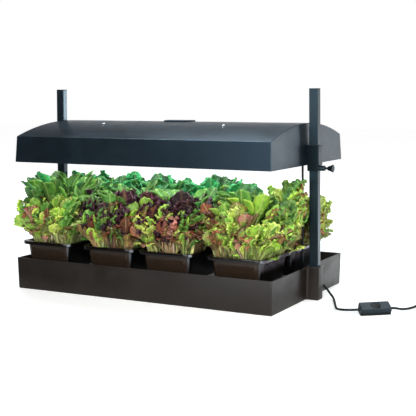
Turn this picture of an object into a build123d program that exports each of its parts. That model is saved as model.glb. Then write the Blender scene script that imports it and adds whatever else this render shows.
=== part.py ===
"""LED grow light garden: a reservoir base with eight planting trays of salad greens,
two posts, and an arched lamp hood that slides on the posts and is held by thumbscrews.

Millimetres, +Z up. The origin is the centre of the base's underside, +X runs along the
length and -Y is the front. Each sub-part is written to parts/ as its own STEP file.
"""

import math
import os

from build123d import *

# Shared clearances
overrun = 10.0            # how far every cut runs past the face it opens
seat_gap = 0.2            # between pieces that are pushed or laid together
slide_gap = 0.4           # between a collar and the post that it slides on
shaft_gap = 0.05          # radial, between a turning shaft and its bore
screw_gap = 0.2           # radial, round a screw in a clearance hole

# Base tray
base_length = 660.0       # at the rim
base_depth = 400.0        # at the rim
base_height = 72.5
base_draft = 2.5          # inset of the foot on every side
base_wall = 3.0
base_floor = 3.0
base_corner = 2.5
base_edge = 1.5           # rounding of the foot

# Post sockets, moulded on the ends of the base
socket_height = 74.0
socket_width = 28.5       # along X, from the wall outwards
socket_depth = 26.0       # along Y
socket_draft = 2.5        # inset of the foot on the outer face
socket_floor = 5.0
socket_root = 5.0         # rounding where the socket meets the wall
socket_lip = 1.2          # proud of the socket's top edge
socket_lip_height = 2.5

# Posts and their caps
post_width = 21.0         # along X
post_depth = 16.0         # along Y
post_wall = 1.5
post_corner = 1.5
post_offset = 3.0         # from the end of the base to the post's inner face
post_top = 466.0
cap_plate = 2.0
cap_plug = 10.0

# Deck over the reservoir and the capillary mat on it
deck_top = 46.0
deck_thickness = 3.0
deck_margin = 3.5         # from the base's inner wall
deck_corner = 6.0
deck_leg = 7.0            # radius
deck_leg_bore = 5.0       # radius
deck_leg_pitch_x = 190.0
deck_leg_pitch_y = 150.0
deck_leg_columns = 4
deck_leg_rows = 3
deck_slot_length = 60.0
deck_slot_width = 5.0
deck_slot_pitch_x = 95.0
deck_slot_pitch_y = 75.0
deck_slot_columns = 6
deck_slot_rows = 4
notch_length = 20.0       # cut-out in the deck for the lamp lead, from its end
notch_depth = 44.0
notch_y = 20.0
mat_length = 610.0
mat_front = -180.0
mat_back = 142.0
mat_thickness = 3.0
mat_tail_width = 160.0
mat_tail_gap = 3.0        # round the tail in the deck's slot
mat_tail_end = 8.0        # height of the tail's end in the reservoir
mat_bend = 5.0

# Planting trays
tray_length = 142.0       # rim, along X
tray_depth = 158.0        # rim, along Y
tray_height = 62.0
tray_wall = 1.2
tray_draft = 8.7          # inset of the foot on every side
tray_lip = 8.5            # width of the flat rim
tray_lip_drop = 7.0       # height of the turned-down rim
tray_corner = 22.0
tray_mouth_corner = 19.0
tray_drain = 4.0          # radius
tray_drain_pitch_x = 52.0
tray_drain_pitch_y = 64.0
tray_columns = (-257.0, -85.0, 65.0, 236.0)
tray_rows = (-111.5, 51.5)

# Potting mix and salad greens
mix_below_rim = 10.0
green_gap = 1.5           # between neighbouring plants
green_end = 339.5         # from the base's middle to the outer leaves, at the ends
green_front = 91.0        # from the tray's centre to the leaves, at the front and back
green_top = 276.0
green_post_x = 316.0      # the leaves stay inside this beside the posts
green_post_y = 16.0
core_foot_length = 112.0
core_foot_depth = 132.0
core_rim_rise = 2.0       # above the tray's rim, where the core starts to spread
core_rim_step = 2.0
core_foot_corner = 18.0
core_corner = 30.0
core_levels = ((152.0, 5.0), (224.0, 13.0), (246.0, 30.0))   # height, inset from the plant's room
leaf_thickness = 8.0
leaf_ring_x = 36.0
leaf_ring_y = 42.0
leaf_root_z = 150.0
# Each leaf: bearing, tilt from upright, length share of the plant's height, half width share
leaf_shares = (
    (0, 20, 0.90, 0.25),
    (45, 14, 1.00, 0.22),
    (90, 18, 0.94, 0.26),
    (135, 12, 1.00, 0.23),
    (180, 20, 0.88, 0.25),
    (225, 14, 0.98, 0.22),
    (270, 18, 0.92, 0.26),
    (315, 12, 1.00, 0.24),
)
# Half a leaf's outline: width share, length share
leaf_outline_shares = ((0.30, 0.0), (0.62, 0.30), (0.96, 0.58), (0.90, 0.80), (0.50, 0.95), (0.0, 1.0))
leaf_turns = (0, 17, 31, 9, 23, 5, 37, 13)   # degrees, one for each plant

# Lamp hood
hood_length = 660.0       # at the bottom edge
hood_depth = 405.0        # at the bottom edge
hood_bottom = 298.6
hood_eave = 359.0
hood_apex = 391.0
hood_eave_inset_x = 2.0
hood_eave_inset_y = 4.0
hood_wall = 1.5
hood_edge = 1.6           # rounding of the outer edges
crest_length = 66.0       # bare raised pad on the crest
crest_depth = 34.0
crest_height = 3.5
crest_edge = 1.0

# Lamps under the hood
lamp_y = 83.5
lamp_screw_x = 160.0
bar_length = 560.0
bar_width = 46.0
bar_height = 18.0
bar_wall = 1.6
bar_drop = 10.0           # from the hood's inner face to the bar
board_width = 40.0
board_thickness = 1.6
led_size = 4.0
led_height = 1.0
led_pitch = 22.0
led_count = 24
lens_lap = 5.0            # how far the lens stands inside the bar
lens_bulge = 7.0
lens_wall = 1.5
end_cap_length = 6.0
bracket_length = 18.0
bracket_plate = 2.0
bracket_leg = 9.0
bracket_boss = 6.0        # radius
dome_radius = 4.5
dome_height = 3.2
dome_shank = 2.0          # radius

# Lamp driver and its leads
driver_length = 90.0      # along Y
driver_width = 28.0       # along X
driver_bottom = 345.0
driver_height = 30.0
driver_edge = 2.0
bar_lead = 2.0            # radius
bar_lead_bend = 16.0
bar_lead_axis = 12.0      # from the driver's inner face

# Slide collars on the hood's ends, and their screws
collar_bottom = 299.0
collar_top = 343.0
collar_outer = 2.8        # outer wall along X
collar_depth = 26.0
collar_lip = 1.2          # proud of the collar
collar_lip_height = 3.0
collar_ring_bottom = 285.5
collar_ring_inset = 1.2
collar_corner = 2.0
collar_screw_z = 328.0
collar_screw = 1.4        # radius
collar_screw_reach = 9.0
collar_head = 2.8         # radius
collar_head_height = 1.8

# Thumbscrews
clamp_z = 292.0
clamp_boss = 6.0          # radius
clamp_boss_length = 10.5
clamp_stud = 2.6          # radius
clamp_neck = 7.0          # bare stud between boss and knob
clamp_tip_gap = 0.3       # from the stud's tip to the post
clamp_engage = 9.0        # stud inside the knob
knob_length = 12.5
knob_radius = 9.0
knob_waist = 4.6          # radius
knob_edge = 1.2
knob_curve_shares = (0.45, 0.46)   # along the knob, and of the waist and rim radii added up

# Mains cord and lamp lead
cord_radius = 2.5
cord_sides = 8
bend_share = 0.45         # of the shorter run, taken by the arc at a corner
lead_x = 322.5
lead_y = -19.0
lead_foot = 106.0         # where the hanging lead meets the lead in the base
grip_radius = 7.0         # strain relief at the wall
grip_tip = 4.2            # radius
grip_shank = 4.8          # radius, in the wall's hole
grip_length = 14.0
grip_inside = 8.0
cord_bore_gap = 0.15
wall_share = 0.36         # place of the wall along the run that crosses it

# In-line switch
switch_length = 65.5
switch_width = 26.0
switch_height = 18.0
switch_split = 9.0
switch_bevel_u = 5.0
switch_bevel_w = 2.3
switch_corner = 3.0
switch_edge = 1.5
square_share = 0.999      # cosine above which an edge counts as square to the switch's top
switch_x = 506.8
switch_y = -78.8
switch_heading = 39.0     # degrees from +X
switch_cord_w = 9.0
switch_lead_in = 11.0     # straight cord beside each end
switch_screw_x = 24.0
switch_screw = 1.4        # radius
switch_screw_head = 2.6   # radius
switch_screw_head_height = 1.6
switch_screw_sink = 2.2
switch_screw_reach = 12.0
rocker_radius = 10.3
rocker_gap = 0.9
rocker_axis_w = 14.0
rocker_valley = 4.3       # above the axis
rocker_below = 3.0
rocker_slope = 8.0        # degrees, each face from the valley
rocker_pin = 1.0          # radius
rocker_pin_end = 12.2
rocker_pin_root = 9.0

# Put-away coil, its tie and the plug
coil_x = 604.0
coil_y = 62.0
coil_outer = 35.6         # radius of the first half turn
coil_pitch = 5.5
coil_layer = 5.5
coil_turns = 4            # in each layer
coil_look_share = 0.6     # of the smallest turn, left out when the gap is measured
tie_wall = 0.8
tie_width = 9.0
tie_gap = 0.4
tie_corner = 1.5
plug_relief = 20.0
plug_relief_root = 4.6    # radius
plug_length = 24.0
plug_width = 25.0
plug_corner = 4.0
plug_edge = 2.0
blade_pitch = 12.7
blade_length = 17.5
blade_width = 6.35
blade_thickness = 1.5
blade_root = 6.0

# Places that follow from the sizes
post_x = base_length / 2 + post_offset + post_width / 2
post_outer_x = post_x + post_width / 2
deck_under = deck_top - deck_thickness
tray_foot_z = deck_top + mat_thickness
tray_middle_x = (tray_columns[0] + tray_columns[-1]) / 2
tray_rim_z = tray_foot_z + tray_height
mix_top_z = tray_rim_z - mix_below_rim
hood_eave_half = hood_depth / 2 - hood_eave_inset_y
hood_rise = hood_apex - hood_eave
arch_radius = (hood_eave_half**2 + hood_rise**2) / (2 * hood_rise)
arch_centre_z = hood_apex - arch_radius
arch_inner = arch_radius - hood_wall
lamp_angle = math.asin(lamp_y / arch_radius)
switch_tilt = math.degrees(math.atan2(switch_bevel_w, switch_bevel_u))
coil_low_z = tie_wall + tie_gap + cord_radius
coil_high_z = coil_low_z + coil_layer

# Route of the lead in the base and of the cord up to the switch
lead_route = [
    (lead_x, lead_y, lead_foot),
    (lead_x, lead_y, 90.0),
    (315.0, -9.0, 74.0),
    (308.5, 2.0, 62.0),
    (308.5, 13.0, 53.5),
    (317.0, 22.0, 45.5),
]
outer_route = [
    (349.0, 31.4, 28.9),
    (364.0, 24.5, 18.5),
    (373.0, 19.5, 10.5),
    (382.0, 12.0, 5.2),
    (389.5, -2.0, 3.0),
    (398.5, -22.0, 2.5),
    (413.0, -55.0, 3.2),
    (427.2, -88.7, 5.5),
    (438.0, -103.1, 7.6),
    (449.9, -110.5, 9.3),
    (462.7, -112.6, 10.6),
]
coil_route = [
    (551.0, -42.0, 7.2),
    (557.5, -26.0, 4.8),
    (562.5, -7.0, 3.4),
    (566.8, 14.0, 3.2),
]
coil_run_in = 22.0        # straight cord before the coil

os.makedirs("parts", exist_ok=True)


def write(builder, name):
    """Label a finished sub-part and write its STEP file."""
    builder.part.label = name
    export_step(builder.part, f"parts/{name}.step")


def tapered_block(foot, top, foot_z, top_z, corners, place=(0, 0), mode=Mode.ADD):
    """A block with rounded corners between a foot and a top rectangle."""
    with BuildSketch(Plane((place[0], place[1], foot_z))) as foot_outline:
        RectangleRounded(foot[0], foot[1], corners[0])
    with BuildSketch(Plane((place[0], place[1], top_z))) as top_outline:
        RectangleRounded(top[0], top[1], corners[1])
    loft([foot_outline.sketch.face(), top_outline.sketch.face()], ruled=True, mode=mode)


def grown(size, step):
    """A rectangle's sides, each grown by a step on both ends."""
    return (size[0] + 2 * step, size[1] + 2 * step)


def corner_radii(points):
    """The largest arc at each corner of a route that its two runs allow."""
    radii = []
    for before, here, after in zip(points, points[1:], points[2:]):
        first = Vector(*here) - Vector(*before)
        second = Vector(*after) - Vector(*here)
        half_turn = math.radians(first.get_angle(second)) / 2
        radii.append(bend_share * min(first.length, second.length) / math.tan(half_turn))
    return radii


def cord_tube(points, name, radius=cord_radius):
    """A cord along straight runs joined by tangent arcs."""
    radii = corner_radii(points)
    with BuildPart() as tube:
        with BuildLine() as route:
            FilletPolyline(*points, radius=radii)
        line = route.wires()[0]
        with BuildSketch(Plane(line @ 0, z_dir=line % 0)) as section:
            RegularPolygon(radius, cord_sides)
        sweep(path=line)
    expected = section.sketch.area * line.length
    print(name, "length", round(line.length, 1), "least radius", round(min(radii), 1),
          "volume share", round(tube.part.volume / expected, 4))
    return tube


def base_half_length(z):
    """Half the base's outer length at a height."""
    return base_length / 2 - base_draft * (1 - z / base_height)


# Strain relief: its place on the run that crosses the right end wall
run_start = Vector(*lead_route[-1])
run_end = Vector(*outer_route[0])
grip_axis = (run_end - run_start).normalized()
wall_point = run_start + (run_end - run_start) * wall_share
wall_lean = math.atan2(base_draft, base_height)
wall_plane = Plane(
    (base_half_length(wall_point.Z), 0, wall_point.Z),
    x_dir=(0, 1, 0),
    z_dir=(math.cos(wall_lean), 0, -math.sin(wall_lean)),
)
grip_plane = Plane(wall_point, z_dir=grip_axis)

# Base tray
base_top = (base_length, base_depth)
base_foot = grown(base_top, -base_draft)
with BuildPart() as base_tray:
    tapered_block(base_foot, base_top, 0, base_height, (base_corner, base_corner))
    for end in (-1, 1):
        foot_width = socket_width - socket_draft + base_wall
        top_width = socket_width + base_wall
        root_x = base_length / 2 - base_wall
        with BuildSketch(Plane((end * (root_x + foot_width / 2), 0, 0))):
            Rectangle(foot_width, socket_depth)
        with BuildSketch(Plane((end * (root_x + top_width / 2), 0, socket_height))):
            Rectangle(top_width, socket_depth)
        loft(ruled=True)
    roots = base_tray.edges().filter_by(
        lambda edge: edge.length > base_height / 2
        and abs(abs(edge.center().Y) - socket_depth / 2) < base_floor
        and abs(abs(edge.center().X) - base_half_length(base_height / 2)) < base_floor
    )
    fillet(roots, socket_root)
    lip_width = socket_width + base_wall + socket_lip
    with BuildSketch(Plane((0, 0, socket_height - socket_lip_height))):
        for end in (-1, 1):
            with Locations((end * (root_x + lip_width / 2), 0)):
                Rectangle(lip_width, socket_depth + 2 * socket_lip)
    extrude(amount=socket_lip_height)
    cavity_foot = grown(base_foot, base_draft * base_floor / base_height - base_wall)
    cavity_top = grown(base_top, base_draft * overrun / base_height - base_wall)
    tapered_block(cavity_foot, cavity_top, base_floor, base_height + overrun,
                  (base_corner, base_corner), mode=Mode.SUBTRACT)
    with BuildSketch(Plane((0, 0, socket_floor))):
        with Locations((-post_x, 0), (post_x, 0)):
            Rectangle(post_width + 2 * seat_gap, post_depth + 2 * seat_gap)
    extrude(amount=socket_height, mode=Mode.SUBTRACT)
    with BuildSketch(grip_plane):
        Circle(grip_shank + seat_gap)
    extrude(amount=overrun, both=True, mode=Mode.SUBTRACT)
    fillet(base_tray.faces().sort_by(Axis.Z)[0].outer_wire().edges(), base_edge)
write(base_tray, "base_tray")

# Deck over the reservoir
cavity_at_deck = grown(base_foot, base_draft * deck_under / base_height - base_wall)
deck_size = grown(cavity_at_deck, -deck_margin)
tail_slot = mat_thickness + 2 * mat_tail_gap
with BuildPart() as grow_deck:
    with BuildSketch(Plane((0, 0, deck_under))):
        RectangleRounded(deck_size[0], deck_size[1], deck_corner)
        with GridLocations(deck_slot_pitch_x, deck_slot_pitch_y, deck_slot_columns, deck_slot_rows):
            Rectangle(deck_slot_length, deck_slot_width, mode=Mode.SUBTRACT)
        with Locations((0, mat_back - mat_thickness / 2)):
            Rectangle(mat_tail_width + 2 * mat_tail_gap, tail_slot, mode=Mode.SUBTRACT)
        with Locations((deck_size[0] / 2, notch_y)):
            Rectangle(2 * notch_length, notch_depth, mode=Mode.SUBTRACT)
    extrude(amount=deck_thickness)
    with BuildSketch(Plane((0, 0, base_floor))):
        with GridLocations(deck_leg_pitch_x, deck_leg_pitch_y, deck_leg_columns, deck_leg_rows):
            Circle(deck_leg)
            Circle(deck_leg_bore, mode=Mode.SUBTRACT)
    extrude(amount=deck_under - base_floor)
write(grow_deck, "grow_deck")

# Capillary mat with a tail that hangs into the reservoir
with BuildPart() as capillary_mat:
    with BuildSketch(Plane((tray_middle_x, (mat_front + mat_back) / 2, deck_top))):
        Rectangle(mat_length, mat_back - mat_front)
    extrude(amount=mat_thickness)
    with BuildSketch(Plane((0, mat_back - mat_thickness / 2, mat_tail_end))):
        Rectangle(mat_tail_width, mat_thickness)
    extrude(amount=deck_top - mat_tail_end)
write(capillary_mat, "capillary_mat")

# Planting trays
tray_mouth = grown((tray_length, tray_depth), -tray_lip)
tray_slope = tray_draft / tray_height


def tray_inside(z):
    """The tray's inner sides at a height."""
    return grown(tray_mouth, (z - tray_rim_z) * tray_slope - tray_wall)


def tray_inside_corner(z):
    """The radius of the tray's inner corners at a height."""
    return tray_mouth_corner + (z - tray_rim_z) * tray_slope - tray_wall


def drafted_block(size, corner, top_z, foot_z, place, mode=Mode.ADD):
    """A block with rounded corners that narrows downwards at the tray's draft."""
    with BuildSketch(Plane((place[0], place[1], top_z))) as outline:
        RectangleRounded(*size, corner)
    extrude(outline.sketch, amount=foot_z - top_z, taper=math.degrees(math.atan(tray_slope)), mode=mode)


def build_tray(place):
    """One thin tray with a flat, turned-down rim and four drain holes."""
    rim = Plane((place[0], place[1], tray_rim_z))
    rim_size = (tray_length, tray_depth)
    inner_rim = grown(rim_size, -tray_wall)
    with BuildPart() as tray:
        drafted_block(tray_mouth, tray_mouth_corner, tray_rim_z, tray_foot_z, place)
        with BuildSketch(rim):
            RectangleRounded(*rim_size, tray_corner)
        extrude(amount=-tray_wall)
        with BuildSketch(rim):
            RectangleRounded(*rim_size, tray_corner)
            RectangleRounded(*inner_rim, tray_corner - tray_wall, mode=Mode.SUBTRACT)
        extrude(amount=-tray_lip_drop)
        mouth_z = tray_rim_z + overrun
        drafted_block(tray_inside(mouth_z), tray_inside_corner(mouth_z), mouth_z,
                      tray_foot_z + tray_wall, place, mode=Mode.SUBTRACT)
        with BuildSketch(Plane((place[0], place[1], tray_foot_z))):
            with GridLocations(tray_drain_pitch_x, tray_drain_pitch_y, 2, 2):
                RegularPolygon(tray_drain, cord_sides)
        extrude(amount=tray_wall, mode=Mode.SUBTRACT)
    return tray


tray_places = [(x, y) for y in tray_rows for x in tray_columns]
for number, place in enumerate(tray_places, start=1):
    write(build_tray(place), f"grow_tray_{number}")

# Potting mix, one block in each tray
mix_foot_z = tray_foot_z + tray_wall + seat_gap
with BuildPart() as potting_mix:
    for place in tray_places:
        drafted_block(grown(tray_inside(mix_top_z), -seat_gap), tray_inside_corner(mix_top_z) - seat_gap,
                      mix_top_z, mix_foot_z, place)
write(potting_mix, "potting_mix")


def plant_room(place):
    """The box that one plant may fill: halfway to its neighbours, or its reach at the ends."""
    columns = sorted(tray_columns)
    rows = sorted(tray_rows)
    column = columns.index(place[0])
    row = rows.index(place[1])
    left = (columns[column - 1] + place[0]) / 2 if column else -green_end
    last = column == len(columns) - 1
    right = green_end if last else (columns[column + 1] + place[0]) / 2
    middle = (rows[0] + rows[1]) / 2
    front = middle if row else place[1] - green_front
    back = place[1] + green_front if row else middle
    gap = green_gap / 2
    return (left + gap, right - gap, front + gap, back - gap)


def build_greens(place, turn):
    """A head of salad leaves: a lumpy core with a ring of upright blades."""
    left, right, front, back = plant_room(place)
    room = (right - left, back - front)
    middle = ((left + right) / 2, (front + back) / 2)
    root_z = mix_top_z + seat_gap
    height = green_top - leaf_root_z
    with BuildPart() as greens:
        foot = (core_foot_length, core_foot_depth)
        with BuildSketch(Plane((place[0], place[1], root_z))):
            RectangleRounded(*foot, core_foot_corner)
        with BuildSketch(Plane((place[0], place[1], tray_rim_z + core_rim_rise))):
            RectangleRounded(*grown(foot, core_rim_step), core_foot_corner)
        for z, inset in core_levels:
            with BuildSketch(Plane((middle[0], middle[1], z))):
                RectangleRounded(*grown(room, -inset), core_corner)
        loft(ruled=True)
        for bearing, tilt, length_share, width_share in leaf_shares:
            angle = math.radians(bearing + turn)
            lean = math.radians(tilt)
            radial = Vector(math.cos(angle), math.sin(angle), 0)
            root = Vector(middle[0] + leaf_ring_x * radial.X, middle[1] + leaf_ring_y * radial.Y, leaf_root_z)
            normal = radial * math.cos(lean) - Vector(0, 0, math.sin(lean))
            blade = Plane(root, x_dir=(-radial.Y, radial.X, 0), z_dir=normal)
            length = height * length_share / math.cos(lean)
            half = height * width_share
            right_side = [(half * wide, length * far) for wide, far in leaf_outline_shares]
            left_side = [(-x, y) for x, y in right_side[-2::-1]]
            with BuildSketch(blade):
                with BuildLine():
                    Polyline(*right_side, *left_side, close=True)
                make_face()
            extrude(amount=leaf_thickness / 2, both=True)
        with BuildSketch(Plane((middle[0], middle[1], root_z))):
            Rectangle(*room)
        extrude(amount=green_top - root_z, mode=Mode.INTERSECT)
        if place[1] == max(tray_rows) and place[0] in (tray_columns[0], tray_columns[-1]):
            with BuildSketch(Plane((math.copysign(base_length / 2, place[0]), 0, root_z))):
                Rectangle(base_length - 2 * green_post_x, base_depth)
                with Locations((0, base_depth / 2 + green_post_y)):
                    Rectangle(base_length, base_depth, mode=Mode.SUBTRACT)
            extrude(amount=green_top - root_z + overrun, mode=Mode.SUBTRACT)
    return greens


for number, (place, turn) in enumerate(zip(tray_places, leaf_turns), start=1):
    write(build_greens(place, turn), f"salad_greens_{number}")

# Posts and caps
with BuildPart() as post_right:
    with BuildSketch(Plane((post_x, 0, socket_floor))):
        RectangleRounded(post_width, post_depth, post_corner)
        Rectangle(post_width - 2 * post_wall, post_depth - 2 * post_wall, mode=Mode.SUBTRACT)
    extrude(amount=post_top - socket_floor)
write(post_right, "post_right")

with BuildPart() as post_left:
    mirror(post_right.part, about=Plane.YZ)
write(post_left, "post_left")

with BuildPart() as post_cap_right:
    with BuildSketch(Plane((post_x, 0, post_top))):
        RectangleRounded(post_width, post_depth, post_corner)
    extrude(amount=cap_plate)
    fillet(post_cap_right.faces().sort_by(Axis.Z)[-1].outer_wire().edges(), cap_plate / 2)
    with BuildSketch(Plane((post_x, 0, post_top))):
        Rectangle(post_width - 2 * (post_wall + seat_gap), post_depth - 2 * (post_wall + seat_gap))
    extrude(amount=-cap_plug)
write(post_cap_right, "post_cap_right")

with BuildPart() as post_cap_left:
    mirror(post_cap_right.part, about=Plane.YZ)
write(post_cap_left, "post_cap_left")


# Lamp hood
hood_lean = math.atan2(hood_eave_inset_x, hood_eave - hood_bottom)


def hood_end(end, inset=0):
    """The leaning plane of one end panel, moved inwards by an inset."""
    normal = Vector(end * math.cos(hood_lean), 0, math.sin(hood_lean))
    foot = Vector(end * hood_length / 2, 0, hood_bottom)
    return Plane(foot - normal * inset, x_dir=(0, end, 0), z_dir=normal)


def hood_block(inset, foot_z):
    """The hood's outline, drawn in by an inset, as a block between its two end panels."""
    slope = hood_eave_inset_y / (hood_eave - hood_bottom)
    foot_half = hood_depth / 2 - inset - slope * (foot_z - hood_bottom)
    eave_half = hood_eave_half - inset
    radius = arch_radius - inset
    eave_z = arch_centre_z + math.sqrt(radius**2 - eave_half**2)
    with BuildSketch(Plane.YZ) as outline:
        with BuildLine():
            Polyline((-eave_half, eave_z), (-foot_half, foot_z), (foot_half, foot_z), (eave_half, eave_z))
            ThreePointArc((eave_half, eave_z), (0, hood_apex - inset), (-eave_half, eave_z))
        make_face()
    extrude(outline.sketch, amount=hood_length / 2, both=True)
    for end in (-1, 1):
        split(bisect_by=hood_end(end, inset), keep=Keep.BOTTOM)


def lamp_plane(x, depth):
    """A plane square to the arch over the front lamp, its normal pointing out of the hood."""
    normal = Vector(0, -math.sin(lamp_angle), math.cos(lamp_angle))
    centre = Vector(x, 0, arch_centre_z)
    return Plane(centre + normal * (arch_inner - depth), x_dir=(1, 0, 0), z_dir=normal)


with BuildPart() as hood_core:
    hood_block(hood_wall, hood_bottom - overrun)

with BuildPart() as hood_shell:
    hood_block(0, hood_bottom)
    foot_edges = hood_shell.faces().sort_by(Axis.Z)[0].outer_wire().edges()
    fillet([edge for edge in hood_shell.edges() if edge not in foot_edges], hood_edge)
    add(hood_core.part, mode=Mode.SUBTRACT)
    for x in (-lamp_screw_x, lamp_screw_x):
        with BuildSketch(lamp_plane(x, 0)):
            Circle(dome_shank + screw_gap)
        extrude(amount=overrun, both=True, mode=Mode.SUBTRACT)
    collar_screw_y = (post_depth / 2 + collar_depth / 2) / 2
    with BuildSketch(Plane((0, 0, collar_screw_z), x_dir=(0, 1, 0), z_dir=(1, 0, 0))):
        with Locations((-collar_screw_y, 0), (collar_screw_y, 0)):
            Circle(collar_screw + screw_gap)
    extrude(amount=hood_length, both=True, mode=Mode.SUBTRACT)
    for x in (-lamp_screw_x, lamp_screw_x):
        front = lamp_plane(x, 0)
        rear = Plane((front.origin.X, -front.origin.Y, front.origin.Z), x_dir=(1, 0, 0),
                     z_dir=(0, -front.z_dir.Y, front.z_dir.Z))
        with BuildSketch(rear):
            Circle(dome_shank + screw_gap)
        extrude(amount=overrun, both=True, mode=Mode.SUBTRACT)
write(hood_shell, "hood_shell")

# Bare raised pad on the crest
with BuildPart() as crest_pad:
    pad_half = crest_depth / 2
    low = arch_centre_z + math.sqrt(arch_radius**2 - pad_half**2)
    pad_radius = arch_radius + crest_height
    high = arch_centre_z + math.sqrt(pad_radius**2 - pad_half**2)
    with BuildSketch(Plane.YZ):
        with BuildLine():
            ThreePointArc((-pad_half, low), (0, hood_apex), (pad_half, low))
            Line((pad_half, low), (pad_half, high))
            ThreePointArc((pad_half, high), (0, hood_apex + crest_height), (-pad_half, high))
            Line((-pad_half, high), (-pad_half, low))
        make_face()
    extrude(amount=crest_length / 2, both=True)
    fillet(crest_pad.faces().sort_by(Axis.Z)[-1].outer_wire().edges(), crest_edge)
write(crest_pad, "crest_pad")


def lamp_section(x):
    """The plane of the front lamp's cross-section: local y points out of the hood."""
    at = lamp_plane(x, 0)
    return Plane(at.origin, x_dir=(0, math.cos(lamp_angle), math.sin(lamp_angle)), z_dir=(1, 0, 0))


def write_pair(front, name):
    """Write a front lamp piece and its mirror image on the rear lamp."""
    write(front, f"{name}_front")
    with BuildPart() as rear:
        mirror(front.part, about=Plane.XZ)
    write(rear, f"{name}_rear")


# Lamp bars: an open channel, the board in it and the lens across its mouth
bar_top = -bar_drop
bar_mouth = bar_top - bar_height
with BuildPart() as led_bar:
    with BuildSketch(lamp_section(0)):
        with Locations((0, (bar_top + bar_mouth) / 2)):
            Rectangle(bar_width, bar_height)
        with Locations((0, (bar_top - bar_wall + bar_mouth - overrun) / 2)):
            Rectangle(bar_width - 2 * bar_wall, bar_height - bar_wall + overrun, mode=Mode.SUBTRACT)
    extrude(amount=bar_length / 2, both=True)
write_pair(led_bar, "led_bar")

with BuildPart() as led_board:
    board_top = bar_top - bar_wall
    with BuildSketch(lamp_section(0)):
        with Locations((0, board_top - board_thickness / 2)):
            Rectangle(board_width, board_thickness)
    extrude(amount=bar_length / 2, both=True)
    with BuildSketch(lamp_plane(0, board_thickness - board_top)):
        with GridLocations(led_pitch, 0, led_count, 1):
            Rectangle(led_size, led_size)
    extrude(amount=-led_height)
write_pair(led_board, "led_board")

lens_half = bar_width / 2 - bar_wall - seat_gap
lens_edge = bar_mouth + lens_lap
lens_low = bar_mouth - lens_bulge
with BuildPart() as lamp_lens:
    with BuildSketch(lamp_section(0)):
        with BuildLine():
            ThreePointArc((-lens_half, lens_edge), (0, lens_low), (lens_half, lens_edge))
            Line((lens_half, lens_edge), (lens_half - lens_wall, lens_edge))
            ThreePointArc((lens_half - lens_wall, lens_edge), (0, lens_low + lens_wall),
                          (lens_wall - lens_half, lens_edge))
            Line((lens_wall - lens_half, lens_edge), (-lens_half, lens_edge))
        make_face()
    extrude(amount=bar_length / 2, both=True)
write_pair(lamp_lens, "lamp_lens")

with BuildPart() as bar_end_caps:
    for end in (-1, 1):
        with BuildSketch(lamp_section(end * bar_length / 2)):
            with Locations((0, (bar_top + bar_mouth) / 2)):
                Rectangle(bar_width, bar_height)
            with BuildLine():
                cap_half = bar_width / 2
                ThreePointArc((-cap_half, bar_mouth), (0, lens_low - lens_wall), (cap_half, bar_mouth))
                Line((cap_half, bar_mouth), (-cap_half, bar_mouth))
            make_face()
        extrude(amount=end * end_cap_length)
    mirror(about=Plane.XZ)
write(bar_end_caps, "bar_end_caps")

# Saddle brackets that hang the bars, and the domed screws through the hood
with BuildPart() as bar_brackets:
    saddle_half = bar_width / 2 + seat_gap
    saddle_top = bar_top + bracket_plate
    for x in (-lamp_screw_x, lamp_screw_x):
        with BuildSketch(lamp_section(x)):
            with BuildLine():
                Polyline(
                    (-saddle_half - bracket_plate, saddle_top),
                    (saddle_half + bracket_plate, saddle_top),
                    (saddle_half + bracket_plate, bar_top - bracket_leg),
                    (saddle_half, bar_top - bracket_leg),
                    (saddle_half, bar_top),
                    (-saddle_half, bar_top),
                    (-saddle_half, bar_top - bracket_leg),
                    (-saddle_half - bracket_plate, bar_top - bracket_leg),
                    close=True,
                )
            make_face()
        extrude(amount=bracket_length / 2, both=True)
        with BuildSketch(lamp_plane(x, seat_gap)):
            Circle(bracket_boss)
        extrude(amount=saddle_top + seat_gap)
        with BuildSketch(lamp_plane(x, bar_drop)):
            Circle(dome_shank + screw_gap)
        extrude(amount=bar_drop, mode=Mode.SUBTRACT)
    mirror(about=Plane.XZ)
write(bar_brackets, "bar_brackets")

with BuildPart() as dome_screws:
    dome_curve = (dome_radius**2 + dome_height**2) / (2 * dome_height)
    for x in (-lamp_screw_x, lamp_screw_x):
        axis_plane = lamp_plane(x, -hood_wall - seat_gap)
        side = Plane(axis_plane.origin, x_dir=(1, 0, 0), z_dir=axis_plane.x_dir.cross(axis_plane.z_dir))
        with BuildSketch(side):
            with BuildLine():
                Line((0, 0), (0, dome_height))
                RadiusArc((0, dome_height), (dome_radius, 0), dome_curve)
                Line((dome_radius, 0), (0, 0))
            make_face()
        revolve(axis=Axis(axis_plane.origin, axis_plane.z_dir))
        with BuildSketch(axis_plane):
            Circle(dome_shank)
        extrude(amount=-(hood_wall + bar_drop))
    mirror(about=Plane.XZ)
write(dome_screws, "dome_screws")

# Lamp driver on the right end panel, and the leads from it to the bars
driver_outer_x = hood_end(1, hood_wall).origin.X
driver_outer_x -= (driver_bottom + driver_height - hood_bottom) * math.tan(hood_lean) + seat_gap
driver_inner_x = driver_outer_x - driver_width
driver_x = (driver_outer_x + driver_inner_x) / 2
with BuildPart() as lamp_driver:
    with BuildSketch(Plane((driver_x, 0, driver_bottom))):
        Rectangle(driver_width, driver_length)
    extrude(amount=driver_height)
    fillet(lamp_driver.edges().filter_by(Axis.Z), driver_edge)
write(lamp_driver, "lamp_driver")

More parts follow.
